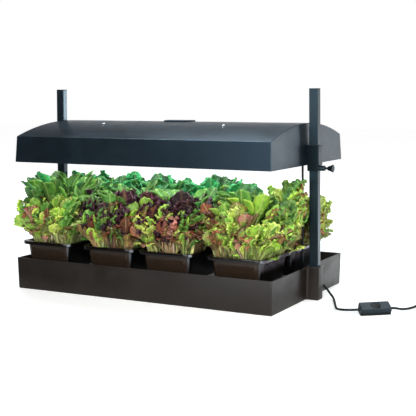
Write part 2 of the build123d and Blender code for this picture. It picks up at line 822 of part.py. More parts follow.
cap_face = lamp_section(bar_length / 2 + end_cap_length)
cap_centre = cap_face.from_local_coords((0, (bar_top + bar_mouth) / 2, 0))
with BuildPart() as bar_leads:
    lead_out = (driver_inner_x + bar_lead_axis, -driver_length / 2, cap_centre.Z)
    lead_turn = (driver_inner_x + bar_lead_axis, cap_centre.Y, cap_centre.Z)
    with BuildLine() as bar_route:
        FilletPolyline(lead_out, lead_turn, cap_centre, radius=bar_lead_bend)
    with BuildSketch(Plane(bar_route.line @ 0, z_dir=bar_route.line % 0)):
        RegularPolygon(bar_lead, cord_sides)
    sweep(path=bar_route.line)
    mirror(about=Plane.XZ)
write(bar_leads, "bar_leads")

# Slide collars
collar_x0 = base_length / 2 - overrun
pocket = (post_width + 2 * slide_gap, post_depth + 2 * slide_gap)
collar_outer_x = post_outer_x + slide_gap + collar_outer
boss_start_x = collar_outer_x - collar_ring_inset
boss_end_x = collar_outer_x + clamp_boss_length
with BuildPart() as collar_right:
    for low, high, inset in (
        (collar_bottom, collar_top, 0),
        (collar_top - collar_lip_height, collar_top, -collar_lip),
        (collar_ring_bottom, collar_bottom, collar_ring_inset),
    ):
        far = collar_outer_x - inset
        with BuildSketch(Plane(((collar_x0 + far) / 2, 0, low))):
            RectangleRounded(far - collar_x0, collar_depth - 2 * inset, collar_corner)
        extrude(amount=high - low)
    split(bisect_by=hood_end(1, -seat_gap), keep=Keep.TOP)
    with BuildSketch(Plane((post_outer_x, 0, clamp_z), x_dir=(0, 1, 0), z_dir=(1, 0, 0))):
        Circle(clamp_boss)
    extrude(amount=boss_end_x - post_outer_x)
    with BuildSketch(Plane((post_x, 0, collar_ring_bottom - overrun))):
        Rectangle(*pocket)
    extrude(amount=collar_top - collar_ring_bottom + 2 * overrun, mode=Mode.SUBTRACT)
    with BuildSketch(Plane((post_x, 0, clamp_z), x_dir=(0, 1, 0), z_dir=(1, 0, 0))):
        Circle(clamp_stud + shaft_gap)
    extrude(amount=boss_end_x - post_x, mode=Mode.SUBTRACT)
    with BuildSketch(Plane((collar_x0, 0, collar_screw_z), x_dir=(0, 1, 0), z_dir=(1, 0, 0))):
        with Locations((-collar_screw_y, 0), (collar_screw_y, 0)):
            Circle(collar_screw + seat_gap)
    extrude(amount=overrun + collar_screw_reach, mode=Mode.SUBTRACT)
write(collar_right, "collar_right")

with BuildPart() as collar_left:
    mirror(collar_right.part, about=Plane.YZ)
write(collar_left, "collar_left")

with BuildPart() as collar_screws:
    head_plane = hood_end(1, hood_wall + seat_gap)
    head_x = head_plane.origin.X - (collar_screw_z - hood_bottom) * math.tan(hood_lean) - seat_gap
    with BuildSketch(Plane((head_x, 0, collar_screw_z), x_dir=(0, 1, 0), z_dir=(1, 0, 0))):
        with Locations((-collar_screw_y, 0), (collar_screw_y, 0)):
            Circle(collar_head)
    extrude(amount=-collar_head_height)
    with BuildSketch(Plane((head_x, 0, collar_screw_z), x_dir=(0, 1, 0), z_dir=(1, 0, 0))):
        with Locations((-collar_screw_y, 0), (collar_screw_y, 0)):
            Circle(collar_screw)
    extrude(amount=base_length / 2 + collar_screw_reach - screw_gap - head_x)
    mirror(about=Plane.YZ)
write(collar_screws, "collar_screws")

# Thumbscrews: a stud that bears on the post and a flared knob on its end
stud_tip_x = post_outer_x + clamp_tip_gap
knob_start_x = boss_end_x + clamp_neck
with BuildPart() as clamp_stud_right:
    with BuildSketch(Plane((stud_tip_x, 0, clamp_z), x_dir=(0, 1, 0), z_dir=(1, 0, 0))):
        Circle(clamp_stud)
    extrude(amount=knob_start_x + clamp_engage - stud_tip_x)
write(clamp_stud_right, "clamp_stud_right")

with BuildPart() as clamp_stud_left:
    mirror(clamp_stud_right.part, about=Plane.YZ)
write(clamp_stud_left, "clamp_stud_left")

with BuildPart() as clamp_knob_right:
    knob_end_x = knob_start_x + knob_length
    face_x = knob_end_x - knob_edge
    bore = clamp_stud + shaft_gap
    bore_end_x = knob_start_x + clamp_engage + shaft_gap
    with BuildSketch(Plane((0, 0, clamp_z), x_dir=(1, 0, 0), z_dir=(0, -1, 0))):
        with BuildLine():
            Polyline((knob_start_x, bore), (bore_end_x, bore), (bore_end_x, 0), (knob_end_x, 0),
                     (knob_end_x, knob_radius - knob_edge), (face_x, knob_radius))
            ThreePointArc(
                (face_x, knob_radius),
                (knob_start_x + knob_length * knob_curve_shares[0],
                 (knob_waist + knob_radius) * knob_curve_shares[1]),
                (knob_start_x, knob_waist),
            )
            Line((knob_start_x, knob_waist), (knob_start_x, bore))
        make_face()
    revolve(axis=Axis((0, 0, clamp_z), (1, 0, 0)))
write(clamp_knob_right, "clamp_knob_right")

with BuildPart() as clamp_knob_left:
    mirror(clamp_knob_right.part, about=Plane.YZ)
write(clamp_knob_left, "clamp_knob_left")

# In-line switch: it leans on one bevel of its underside
heading = math.radians(switch_heading)
tilt = math.radians(switch_tilt)
along = Vector(math.cos(heading), math.sin(heading), 0)
across = Vector(-math.sin(heading), math.cos(heading), 0)
switch_up = Vector(0, 0, 1) * math.cos(tilt) - across * math.sin(tilt)
switch_z = (switch_width / 2 - switch_bevel_u) * math.sin(tilt)
switch_plane = Plane((switch_x, switch_y, switch_z), x_dir=along, z_dir=switch_up)
switch_section = Plane(switch_plane.origin, x_dir=switch_plane.y_dir, z_dir=along)
half_width = switch_width / 2
pocket_radius = rocker_radius + rocker_gap


def switch_corners(builder):
    """The four corner edges of a switch half, square to its top."""
    return builder.edges().filter_by(
        lambda edge: abs((edge % 0).dot(switch_up)) > square_share
        and abs(switch_plane.to_local_coords(edge.center()).X) > switch_length / 2 - switch_corner
    )


with BuildPart() as switch_base:
    with BuildSketch(switch_section):
        with BuildLine():
            Polyline(
                (-half_width, switch_split),
                (-half_width, switch_bevel_w),
                (switch_bevel_u - half_width, 0),
                (half_width - switch_bevel_u, 0),
                (half_width, switch_bevel_w),
                (half_width, switch_split),
                close=True,
            )
        make_face()
    extrude(amount=switch_length / 2, both=True)
    fillet(switch_corners(switch_base), switch_corner)
    with BuildSketch(switch_plane):
        with Locations((-switch_screw_x, 0), (switch_screw_x, 0)):
            Circle(switch_screw_head + screw_gap)
    extrude(amount=switch_screw_sink, mode=Mode.SUBTRACT)
    with BuildSketch(switch_plane):
        with Locations((-switch_screw_x, 0), (switch_screw_x, 0)):
            Circle(switch_screw + screw_gap)
    extrude(amount=switch_split, mode=Mode.SUBTRACT)
write(switch_base, "switch_base")

with BuildPart() as switch_cover:
    with BuildSketch(switch_section):
        with Locations((0, (switch_split + switch_height) / 2)):
            Rectangle(switch_width, switch_height - switch_split)
    extrude(amount=switch_length / 2, both=True)
    fillet(switch_corners(switch_cover), switch_corner)
    switch_top = switch_cover.faces().sort_by(Axis(switch_plane.origin, switch_up))[-1]
    fillet(switch_top.outer_wire().edges(), switch_edge)
    with BuildSketch(switch_plane.offset(switch_split)):
        Circle(pocket_radius)
    extrude(amount=switch_height, mode=Mode.SUBTRACT)
    with BuildSketch(switch_plane.offset(switch_split)):
        with Locations((-switch_screw_x, 0), (switch_screw_x, 0)):
            Circle(switch_screw + shaft_gap)
    extrude(amount=switch_screw_reach - switch_split + screw_gap, mode=Mode.SUBTRACT)
    with BuildSketch(Plane(switch_plane.from_local_coords((0, 0, rocker_axis_w)), x_dir=along,
                           z_dir=switch_plane.y_dir)):
        Circle(rocker_pin + shaft_gap)
    extrude(amount=rocker_pin_end + shaft_gap, both=True, mode=Mode.SUBTRACT)
write(switch_cover, "switch_cover")

with BuildPart() as switch_screws:
    head_w = switch_screw_sink
    with BuildSketch(switch_plane.offset(head_w - switch_screw_head_height)):
        with Locations((-switch_screw_x, 0), (switch_screw_x, 0)):
            Circle(switch_screw_head)
    extrude(amount=switch_screw_head_height)
    with BuildSketch(switch_plane.offset(head_w)):
        with Locations((-switch_screw_x, 0), (switch_screw_x, 0)):
            Circle(switch_screw)
    extrude(amount=switch_screw_reach - head_w)
write(switch_screws, "switch_screws")

# Rocker, with its left half pressed
press = math.radians(rocker_slope)
rocker_along = along * math.cos(press) + switch_up * math.sin(press)
rocker_up = switch_up * math.cos(press) - along * math.sin(press)
rocker_centre = switch_plane.from_local_coords((0, 0, rocker_axis_w))
rocker_plane = Plane(rocker_centre, x_dir=rocker_along, z_dir=rocker_up)
rocker_side = Plane(rocker_centre, x_dir=rocker_along, z_dir=rocker_along.cross(rocker_up))
with BuildPart() as switch_rocker:
    rocker_rim = rocker_valley + rocker_radius * math.tan(press)
    with BuildSketch(rocker_side):
        with BuildLine():
            Polyline(
                (-rocker_radius, -rocker_below),
                (rocker_radius, -rocker_below),
                (rocker_radius, rocker_rim),
                (0, rocker_valley),
                (-rocker_radius, rocker_rim),
                close=True,
            )
        make_face()
    extrude(amount=rocker_radius, both=True)
    with BuildSketch(rocker_plane.offset(-rocker_below - overrun)):
        Circle(rocker_radius)
    extrude(amount=2 * overrun + rocker_below + rocker_rim, mode=Mode.INTERSECT)
    for side in (-1, 1):
        with BuildSketch(Plane(rocker_centre + switch_plane.y_dir * (side * rocker_pin_root), x_dir=along,
                               z_dir=switch_plane.y_dir)):
            Circle(rocker_pin)
        extrude(amount=side * (rocker_pin_end - rocker_pin_root))
write(switch_rocker, "switch_rocker")

# Lamp lead in the base, the strain relief and the cord to the switch
switch_in = switch_plane.from_local_coords((-switch_length / 2, 0, switch_cord_w))
switch_out = switch_plane.from_local_coords((switch_length / 2, 0, switch_cord_w))
lead_in = switch_in - along * switch_lead_in
lead_off = switch_out + along * switch_lead_in
joint_point = tuple(wall_point)

lamp_lead = cord_tube(lead_route + [joint_point], "lamp_lead")
write(lamp_lead, "lamp_lead")

cord_to_switch = cord_tube([joint_point] + outer_route + [tuple(lead_in), tuple(switch_in)], "cord_to_switch")
write(cord_to_switch, "cord_to_switch")

with BuildPart() as cord_grip:
    side = Plane(wall_point, x_dir=grip_plane.x_dir, z_dir=grip_plane.x_dir.cross(grip_axis))
    bore = cord_radius + cord_bore_gap
    with BuildSketch(side):
        with BuildLine():
            Polyline((bore, -grip_inside), (grip_radius, -grip_inside), (grip_radius, 0),
                     (grip_tip, grip_length), (bore, grip_length), close=True)
        make_face()
    revolve(axis=Axis(wall_point, grip_axis))
    split(bisect_by=wall_plane.offset(seat_gap), keep=Keep.TOP)
    with BuildSketch(grip_plane):
        Circle(grip_shank)
        Circle(bore, mode=Mode.SUBTRACT)
    extrude(amount=grip_inside, both=True)
write(cord_grip, "cord_grip")

# Lamp lead that hangs from the driver to the lead in the base
with BuildPart() as lead_drop:
    with BuildSketch(Plane((lead_x, lead_y, lead_foot))):
        RegularPolygon(cord_radius, cord_sides)
    extrude(amount=driver_bottom - lead_foot)
write(lead_drop, "lead_drop")

# Cord from the switch to the coil
coil_start = Vector(coil_x - coil_outer, coil_y, coil_low_z)
coil_tail = coil_start - Vector(0, 2 * cord_radius, 0)
coil_entry = [coil_tail - Vector(0, coil_run_in, 0), coil_tail]
cord_to_coil = cord_tube(
    [tuple(point) for point in [switch_out, lead_off, *coil_route, *coil_entry]],
    "cord_to_coil",
)
write(cord_to_coil, "cord_to_coil")


def half_turns():
    """Where each half turn of the coil starts and ends: in on the floor, up, and out again."""
    points = [coil_start]
    radius = coil_outer
    side = 1
    here = coil_start
    count = 2 * coil_turns
    for step in range(2 * count + 2):
        climbing = step == count
        rise = coil_layer if climbing else 0
        here = Vector(here.X + side * 2 * radius, here.Y, here.Z + rise)
        points.append(here)
        side = -side
        radius += -coil_pitch / 2 if step < count else coil_pitch / 2
    return points


def biarc(start, start_way, end, end_way):
    """Two tangent arcs between two points with given directions."""
    chord = end - start
    sum_way = start_way + end_way
    spread = 2 * (1 - start_way.dot(end_way))
    reach = (math.sqrt(chord.dot(sum_way)**2 + spread * chord.dot(chord)) - chord.dot(sum_way)) / spread
    middle = (start + start_way * reach + end - end_way * reach) / 2
    first = TangentArc(start, middle, tangent=start_way)
    TangentArc(middle, end, tangent=first % 1)


turn_points = half_turns()
turn_way = Vector(0, 1, 0)
with BuildPart() as cord_coil:
    with BuildLine() as coil_line:
        Line(coil_tail, coil_start)
        way = turn_way
        for start, end in zip(turn_points, turn_points[1:]):
            biarc(start, way, end, way * -1)
            way = way * -1
        coil_end = turn_points[-1] + way * (2 * cord_radius)
        Line(turn_points[-1], coil_end)
    with BuildSketch(Plane(coil_tail, z_dir=turn_way)):
        RegularPolygon(cord_radius, cord_sides)
    coil_wire = coil_line.wires()[0]
    sweep(path=coil_wire)
write(cord_coil, "cord_coil")

samples = round(coil_wire.length / cord_radius)
coil_points = [coil_wire @ (i / samples) for i in range(samples + 1)]
apart = round(2 * math.pi * (coil_outer - coil_turns * coil_pitch) * coil_look_share / cord_radius)
least = min(
    (a - b).length
    for i, a in enumerate(coil_points)
    for b in coil_points[i + apart:]
)
print("cord_coil length", round(coil_wire.length, 1),
      "least gap to itself", round(least - 2 * cord_radius, 2))

# Tie round the coil's bundle
tie_inner = coil_outer - coil_turns * coil_pitch - cord_radius - 2 * tie_gap
tie_outer = coil_outer + coil_pitch / 2 + cord_radius + tie_gap
tie_top = coil_high_z + cord_radius + tie_gap
with BuildPart() as coil_tie:
    with BuildSketch(Plane((coil_x, coil_y, tie_top / 2 + tie_wall / 2), x_dir=(1, 0, 0), z_dir=(0, -1, 0))):
        with Locations(((tie_inner + tie_outer) / 2, 0)):
            RectangleRounded(tie_outer - tie_inner + 2 * tie_wall, tie_top + tie_wall, tie_corner + tie_wall)
            RectangleRounded(tie_outer - tie_inner, tie_top - tie_wall, tie_corner, mode=Mode.SUBTRACT)
    extrude(amount=tie_width / 2, both=True)
write(coil_tie, "coil_tie")

# Plug beside the coil
plug_start = coil_end
plug_axis = Axis(plug_start, way)
plug_face = plug_start + way * plug_relief
plug_height = 2 * coil_high_z
with BuildPart() as plug_body:
    with BuildSketch(Plane(plug_start, x_dir=(1, 0, 0), z_dir=way)):
        Circle(cord_radius + seat_gap)
    with BuildSketch(Plane(plug_face, x_dir=(1, 0, 0), z_dir=way)):
        Circle(plug_relief_root)
    loft(ruled=True)
    with BuildSketch(Plane(plug_face, x_dir=(1, 0, 0), z_dir=way)):
        RectangleRounded(plug_width, plug_height, plug_corner)
    extrude(amount=plug_length)
    back_face = plug_body.faces().sort_by(Axis.Y)[-1]
    fillet(back_face.outer_wire().edges(), plug_edge)
    with BuildSketch(Plane(plug_face + way * plug_length, x_dir=(1, 0, 0), z_dir=way)):
        with Locations((-blade_pitch / 2, 0), (blade_pitch / 2, 0)):
            Rectangle(blade_thickness + 2 * shaft_gap, blade_width + 2 * shaft_gap)
    extrude(amount=-blade_root, mode=Mode.SUBTRACT)
write(plug_body, "plug_body")

with BuildPart() as plug_blades:
    with BuildSketch(Plane(plug_face + way * (plug_length - blade_root), x_dir=(1, 0, 0), z_dir=way)):
        with Locations((-blade_pitch / 2, 0), (blade_pitch / 2, 0)):
            Rectangle(blade_thickness, blade_width)
    extrude(amount=blade_root + blade_length)
write(plug_blades, "plug_blades")
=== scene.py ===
"""Looks of an LED grow light garden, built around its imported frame.

Every piece is in metres in the frame's own axes: origin at the centre of the base's
underside, +X towards the mains cord, +Z up, -Y the front.
"""

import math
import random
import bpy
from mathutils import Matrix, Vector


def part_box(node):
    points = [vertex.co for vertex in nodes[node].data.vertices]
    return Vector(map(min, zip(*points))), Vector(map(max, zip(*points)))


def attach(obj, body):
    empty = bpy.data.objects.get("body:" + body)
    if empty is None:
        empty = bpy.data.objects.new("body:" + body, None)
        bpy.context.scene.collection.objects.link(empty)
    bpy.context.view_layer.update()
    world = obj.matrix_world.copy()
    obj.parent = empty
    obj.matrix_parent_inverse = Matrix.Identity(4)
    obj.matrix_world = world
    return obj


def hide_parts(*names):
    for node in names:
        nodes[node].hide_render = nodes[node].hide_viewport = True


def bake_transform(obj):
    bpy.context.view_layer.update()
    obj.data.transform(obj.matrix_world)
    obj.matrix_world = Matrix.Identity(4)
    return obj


bl_info = {
    "name": "Grow Light Garden",
    "version": (1, 0, 0),
    "blender": (4, 5, 0),
    "location": "View3D > Sidebar > Garden",
    "description": "Dresses a tabletop grow light garden with leaves, finishes and cords",
    "category": "Object",
}

import bmesh
import bpy
from bpy.props import FloatProperty, FloatVectorProperty, IntProperty, PointerProperty
from mathutils import Matrix, Vector

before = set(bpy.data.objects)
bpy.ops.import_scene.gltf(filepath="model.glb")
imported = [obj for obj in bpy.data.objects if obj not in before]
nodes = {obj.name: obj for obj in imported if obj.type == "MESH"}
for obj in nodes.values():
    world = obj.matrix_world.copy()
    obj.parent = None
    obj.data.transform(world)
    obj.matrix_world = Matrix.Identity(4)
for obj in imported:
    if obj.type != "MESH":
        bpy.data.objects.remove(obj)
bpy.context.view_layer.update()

MM = 0.001


def srgb(code):
    """A colour written as six hex digits, in linear light."""
    channels = [int(code[i:i + 2], 16) / 255 for i in (0, 2, 4)]
    return tuple(c / 12.92 if c <= 0.04045 else ((c + 0.055) / 1.055) ** 2.4 for c in channels)


def colour_property(name, description, code):
    """A colour setting with its default."""
    return FloatVectorProperty(name=name, description=description, subtype="COLOR",
                               size=3, min=0, max=1, default=srgb(code))


def count_property(name, description, default, least=1):
    """A number of things, with its default."""
    return IntProperty(name=name, description=description, default=default, min=least)


def length_property(name, description, default, least, **limits):
    """A length in metres with its default."""
    return FloatProperty(name=name, description=description, default=default, min=least,
                         unit="LENGTH", **limits)


class GardenColours(bpy.types.PropertyGroup):
    """Colours of the garden's main finishes."""

    hood_coat: colour_property("Hood coat", "Powder coat of the hood", "0a1014")
    post_coat: colour_property("Post coat", "Powder coat of the posts", "10181d")
    base_plastic: colour_property("Base plastic", "Moulded plastic of the base", "1a1410")
    clamp_plastic: colour_property("Clamp plastic", "Collars and knobs", "0f1519")
    tray_plastic: colour_property("Tray plastic", "Thin gloss plastic of the trays", "0b0807")
    cord_sheath: colour_property("Cord sheath", "Sheath of the cord and leads", "090f12")
    switch_plastic: colour_property("Switch plastic", "Case of the in-line switch", "1b262d")
    compost: colour_property("Compost", "Potting mix", "35281c")


class GardenSizes(bpy.types.PropertyGroup):
    """Sizes of what grows in the trays, and of the cord."""

    plant_columns: count_property("Plant columns", "Plants across a tray", 4)
    plant_rows: count_property("Plant rows", "Plants from front to back of a tray", 4)
    fringe_leaves: count_property("Fringe leaves", "Small leaves and stalks round a rim", 104)
    shell_leaves: count_property("Shell leaves", "Leaves that close the sides of a bed", 90)
    screen_leaves: count_property("Screen leaves", "Leaves in front of the lamp lead", 64, 0)
    leaf_slack: length_property("Leaf slack", "How far a leaf tip may pass its plant's room",
                                0.010, 0.0, max=0.012)
    leaf_thickness: length_property("Leaf thickness", "Thickness of a leaf", 0.0006, 0.0001)
    canopy_height: length_property("Canopy height", "Height of the tallest leaves", 0.258, 0.15, max=0.28)
    cord_diameter: length_property("Cord diameter", "Diameter of the mains cord", 0.005, 0.002)


def colours():
    """The colour settings."""
    return bpy.context.scene.garden_colours


def sizes():
    """The size settings."""
    return bpy.context.scene.garden_sizes


# Node groups and materials

def put(tree, socket, value):
    """Set a socket to a number or a colour, or link another socket to it."""
    if isinstance(value, (int, float)):
        socket.default_value = value
    elif isinstance(value, tuple):
        socket.default_value = (*value, 1)
    else:
        tree.links.new(value, socket)


def feed(tree, node, values):
    """Put values into a node's named inputs."""
    for label, value in values.items():
        put(tree, node.inputs[label], value)


def maths(tree, operation, first, second=None, clamp=False):
    """A math node whose inputs are sockets or numbers."""
    node = tree.nodes.new("ShaderNodeMath")
    node.operation = operation
    node.use_clamp = clamp
    put(tree, node.inputs[0], first)
    if second is not None:
        put(tree, node.inputs[1], second)
    return node.outputs[0]


def times(tree, first, second):
    """A product."""
    return maths(tree, "MULTIPLY", first, second)


def plus(tree, first, second, clamp=False):
    """A sum."""
    return maths(tree, "ADD", first, second, clamp)


def less(tree, first, second):
    """A difference."""
    return maths(tree, "SUBTRACT", first, second)


def inverse(tree, value):
    """What a share leaves of one."""
    return less(tree, 1.0, value)


def coordinate(tree, kind):
    """A texture coordinate of the surface."""
    return tree.nodes.new("ShaderNodeTexCoord").outputs[kind]


def axes(tree, vector):
    """The x, y and z of a vector."""
    node = tree.nodes.new("ShaderNodeSeparateXYZ")
    tree.links.new(vector, node.inputs[0])
    return node.outputs


def ramp(tree, value, low, high):
    """A smooth step from 0 at low to 1 at high."""
    node = tree.nodes.new("ShaderNodeMapRange")
    node.interpolation_type = "SMOOTHSTEP"
    feed(tree, node, {"Value": value, "From Min": low, "From Max": high})
    return node.outputs["Result"]


def mix(tree, share, first, second):
    """A colour mix; each input is a socket or a colour."""
    node = tree.nodes.new("ShaderNodeMix")
    node.data_type = "RGBA"
    for label, value in (("Factor", share), ("A", first), ("B", second)):
        put(tree, [s for s in node.inputs if s.name == label and s.enabled][0], value)
    return [s for s in node.outputs if s.enabled][0]


def noise(tree, vector, scale, detail=3.0, rough=0.5):
    """A noise texture's value."""
    node = tree.nodes.new("ShaderNodeTexNoise")
    feed(tree, node, {"Vector": vector, "Scale": scale, "Detail": detail, "Roughness": rough})
    return node.outputs["Fac"]


def shader_group(name, numbers, results):
    """A shader group that takes a vector and numbers and gives numbers: its tree, inputs and end."""
    group = bpy.data.node_groups.new(name, "ShaderNodeTree")
    group.interface.new_socket("Vector", in_out="INPUT", socket_type="NodeSocketVector")
    for label, value in numbers.items():
        group.interface.new_socket(label, in_out="INPUT", socket_type="NodeSocketFloat").default_value = value
    for label in results:
        group.interface.new_socket(label, in_out="OUTPUT", socket_type="NodeSocketFloat")
    return group, group.nodes.new("NodeGroupInput").outputs, group.nodes.new("NodeGroupOutput")


def make_peel_group():
    """Fine orange peel with a slower drift, as on powder coat and spark-finished plastic."""
    group, given, end = shader_group("surface_peel", {"Scale": 900.0}, ("Height", "Drift"))
    feed(group, end, {"Height": noise(group, given["Vector"], given["Scale"], 2.0, 0.45),
                      "Drift": noise(group, given["Vector"], 7.0, 4.0, 0.6)})
    return group


def make_rub_group():
    """Where hands and cloths polish a surface: soft cloudy patches and thin streaks."""
    group, given, end = shader_group("handling_rub", {"Low": 0.3, "High": 0.5}, ("Roughness",))
    cloud = noise(group, given["Vector"], 16.0, 5.0, 0.62)
    stretch = group.nodes.new("ShaderNodeMapping")
    stretch.inputs["Scale"].default_value = (14.0, 260.0, 260.0)
    group.links.new(given["Vector"], stretch.inputs["Vector"])
    streak = noise(group, stretch.outputs["Vector"], 1.0, 2.0, 0.5)
    share = ramp(group, plus(group, times(group, cloud, 0.75), times(group, streak, 0.25)), 0.34, 0.66)
    span = less(group, given["High"], given["Low"])
    feed(group, end, {"Roughness": plus(group, given["Low"], times(group, share, span))})
    return group


GROUPS = {}


def group_node(tree, name, values):
    """The outputs of a shared shader group placed in a material and fed."""
    makers = {"surface_peel": make_peel_group, "handling_rub": make_rub_group}
    if name not in GROUPS:
        GROUPS[name] = makers[name]()
    node = tree.nodes.new("ShaderNodeGroup")
    node.node_tree = GROUPS[name]
    feed(tree, node, values)
    return node.outputs


def new_material(name):
    """A material with its tree, its principled shader and object coordinates."""
    material = bpy.data.materials.new(name)
    material.use_nodes = True
    tree = material.node_tree
    return material, tree, tree.nodes["Principled BSDF"], coordinate(tree, "Object")


def bump(tree, shader, height, distance):
    """Feed a height into the shader's normal."""
    node = tree.nodes.new("ShaderNodeBump")
    feed(tree, node, {"Strength": 1.0, "Distance": distance, "Height": height})
    feed(tree, shader, {"Normal": node.outputs["Normal"]})


def coated(name, first, second, rough, grain, metallic=0.0, specular=0.5, sheen=(1, 1, 1)):
    """A coated or moulded surface: drift between two tones, rubbed gloss and a grain of a scale and depth."""
    material, tree, shader, place = new_material(name)
    peel = group_node(tree, "surface_peel", {"Vector": place, "Scale": grain[0]})
    rub = group_node(tree, "handling_rub", {"Vector": place, "Low": rough[0], "High": rough[1]})
    drift = ramp(tree, peel["Drift"], 0.3, 0.7)
    feed(tree, shader, {"Base Color": mix(tree, drift, tone(first), tone(second)),
                        "Roughness": rub["Roughness"], "Metallic": metallic,
                        "Specular IOR Level": specular, "Specular Tint": sheen})
    bump(tree, shader, peel["Height"], grain[1])
    return material


def polish_ends(material, share):
    """Lower a material's roughness by a share on the faces that look along X."""
    tree = material.node_tree
    rough = tree.nodes["Principled BSDF"].inputs["Roughness"]
    facing = maths(tree, "ABSOLUTE", axes(tree, coordinate(tree, "Normal"))[0])
    left = inverse(tree, times(tree, facing, share))
    tree.links.new(times(tree, rough.links[0].from_socket, left), rough)


def scaled(colour, factor):
    """A colour made lighter or darker."""
    return tuple(min(1.0, c * factor) for c in colour)


def tone(code):
    """A colour from hex digits, or from a setting's name with an optional factor after a star."""
    name, _, factor = code.partition("*")
    colour = getattr(colours(), name, None)
    return srgb(code) if colour is None else scaled(colour, float(factor or 1))


def dress(material, *names):
    """Give CAD nodes a material."""
    for name in names:
        slots = nodes[name].data.materials
        slots.clear()
        slots.append(material)


def finish(rows):
    """Dress CAD nodes with coated finishes: material, two tones, roughness, grain, settings, nodes."""
    for name, first, second, rough, grain, settings, dressed in rows:
        dress(coated(name, first, second, rough, grain, **settings), *dressed.split())


def placed(name, data):
    """A new object in the scene."""
    thing = bpy.data.objects.new(name, data)
    bpy.context.scene.collection.objects.link(thing)
    return thing


def new_piece(name, mesh, material, body, slot, *replaced):
    """Link a finished mesh as a piece that rides on a body and stands for CAD nodes."""
    piece = placed(name, mesh)
    mesh.materials.clear()
    mesh.materials.append(material)
    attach(piece, body)
    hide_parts(*replaced)
    return piece


def finished_mesh(name, shape):
    """A smooth mesh from a bmesh, which is freed."""
    mesh = bpy.data.meshes.new(name)
    shape.to_mesh(mesh)
    shape.free()
    mesh.shade_smooth()
    return mesh


WELD = 0.000004                     # joins the corners of a CAD mesh
FLAT = math.radians(0.6)            # faces nearer than this become one
SHARP = math.radians(28)            # edges past this are rounded
CREASE = math.radians(36)           # edges past this stay sharp in the shading
LONG_EDGE = 0.004                   # shorter edges are left alone above a height


def softened_mesh(node, width, segments=2, above=None):
    """A copy of a CAD node's mesh with sharp edges rounded, or only the long outer ones above a height."""
    shape = bmesh.new()
    shape.from_mesh(nodes[node].data)
    bmesh.ops.remove_doubles(shape, verts=shape.verts, dist=WELD)
    bmesh.ops.dissolve_limit(shape, angle_limit=FLAT, verts=shape.verts, edges=shape.edges)
    shape.normal_update()
    edges = [e for e in shape.edges if len(e.link_faces) == 2 and e.calc_face_angle(0) > SHARP]
    if above is not None:
        edges = [e for e in edges if e.is_convex and e.calc_length() > LONG_EDGE
                 and min(v.co.z for v in e.verts) > above]
    bmesh.ops.bevel(shape, geom=edges, offset=width, offset_type="OFFSET", segments=segments,
                    profile=0.5, affect="EDGES", material=-1, clamp_overlap=True)
    mesh = finished_mesh(node + "_soft", shape)
    mesh.set_sharp_from_angle(angle=CREASE)
    return mesh


# Hood, posts and base

COOL_SHEEN = (0.52, 0.80, 1.0)      # the blue cast of light on the dark coat
HOOD_SHEEN = (0.46, 0.74, 1.0)
HOOD_EAVE = 0.315                   # above the hood's lower rim
HOOD_EDGE = 0.0030                  # rounding of the edges, here and below
COLLAR_EDGE = 0.0009
BASE_EDGE = 0.0007
POST_POLISH = 0.62                  # share of roughness that the posts' outer sides lose
COOL, METAL = {"sheen": COOL_SHEEN}, {"metallic": 1.0}
STRUCTURE_FINISHES = (
    ("crest_plastic", "hood_coat*1.5", "hood_coat", (0.4, 0.55), (1400, 0.00005), COOL, "crest_pad"),
    ("stud_steel", "3a3d40", "2a2c2e", (0.25, 0.4), (3000, 0.00002), METAL,
     "clamp_stud_left clamp_stud_right"),
    ("dome_chrome", "d6d8da", "b9bcc0", (0.08, 0.2), (2500, 0.00001), METAL, "dome_screws"),
    ("screw_steel", "9a9c9f", "7c7e82", (0.25, 0.4), (2500, 0.00002), METAL, "collar_screws switch_screws"),
    ("deck_plastic", "1d1d1e", "151515", (0.4, 0.6), (1200, 0.00008), {}, "grow_deck"),
)
LAMP_FINISHES = (
    ("bar_aluminium", "c9ccd0", "b4b8bd", (0.28, 0.42), (1500, 0.00003), METAL, "led_bar_front led_bar_rear"),
    ("board_white", "e9ebe8", "dcdfda", (0.35, 0.5), (1500, 0.00003), {}, "led_board_front led_board_rear"),
    ("lamp_grey", "c3c6c8", "b0b3b6", (0.4, 0.55), (1500, 0.00005), {},
     "bar_end_caps bar_brackets lamp_driver bar_leads"),
)
LAMP_GLOW = 5.2


class GARDEN_OT_structure(bpy.types.Operator):
    """Finish the hood, posts, collars, clamps and base"""

    bl_idname = "garden.structure"
    bl_label = "Structure"

    def execute(self, context):
        hood = coated("hood_coat", "hood_coat", "hood_coat*0.8", (0.30, 0.40), (750, 0.00006),
                      specular=0.60, sheen=HOOD_SHEEN)
        cover = new_piece("hood_cover", softened_mesh("hood_shell", HOOD_EDGE, 4, HOOD_EAVE), hood,
                          "hood", "hood_shell", "hood_shell")
        level = cover.modifiers.new("flat_faces", "WEIGHTED_NORMAL")
        level.keep_sharp = True
        level.weight = 100
        post = coated("post_coat", "post_coat", "post_coat*0.8", (0.28, 0.40), (1100, 0.00004),
                      specular=0.55, sheen=COOL_SHEEN)
        polish_ends(post, POST_POLISH)
        dress(post, "post_left", "post_right")
        clamp = coated("clamp_plastic", "clamp_plastic", "clamp_plastic*0.75", (0.30, 0.44), (1500, 0.00005),
                       specular=0.3, sheen=COOL_SHEEN)
        for side in ("left", "right"):
            collar = f"collar_{side}"
            new_piece(f"clamp_{collar}", softened_mesh(collar, COLLAR_EDGE), clamp, "hood", "collar", collar)
            dress(clamp, f"post_cap_{side}", f"clamp_knob_{side}")
        base = coated("base_plastic", "base_plastic", "base_plastic*0.8", (0.34, 0.48), (1200, 0.00007),
                      specular=0.4)
        new_piece("reservoir_base", softened_mesh("base_tray", BASE_EDGE), base,
                  "base", "base_tray", "base_tray")
        finish(STRUCTURE_FINISHES)
        return {"FINISHED"}


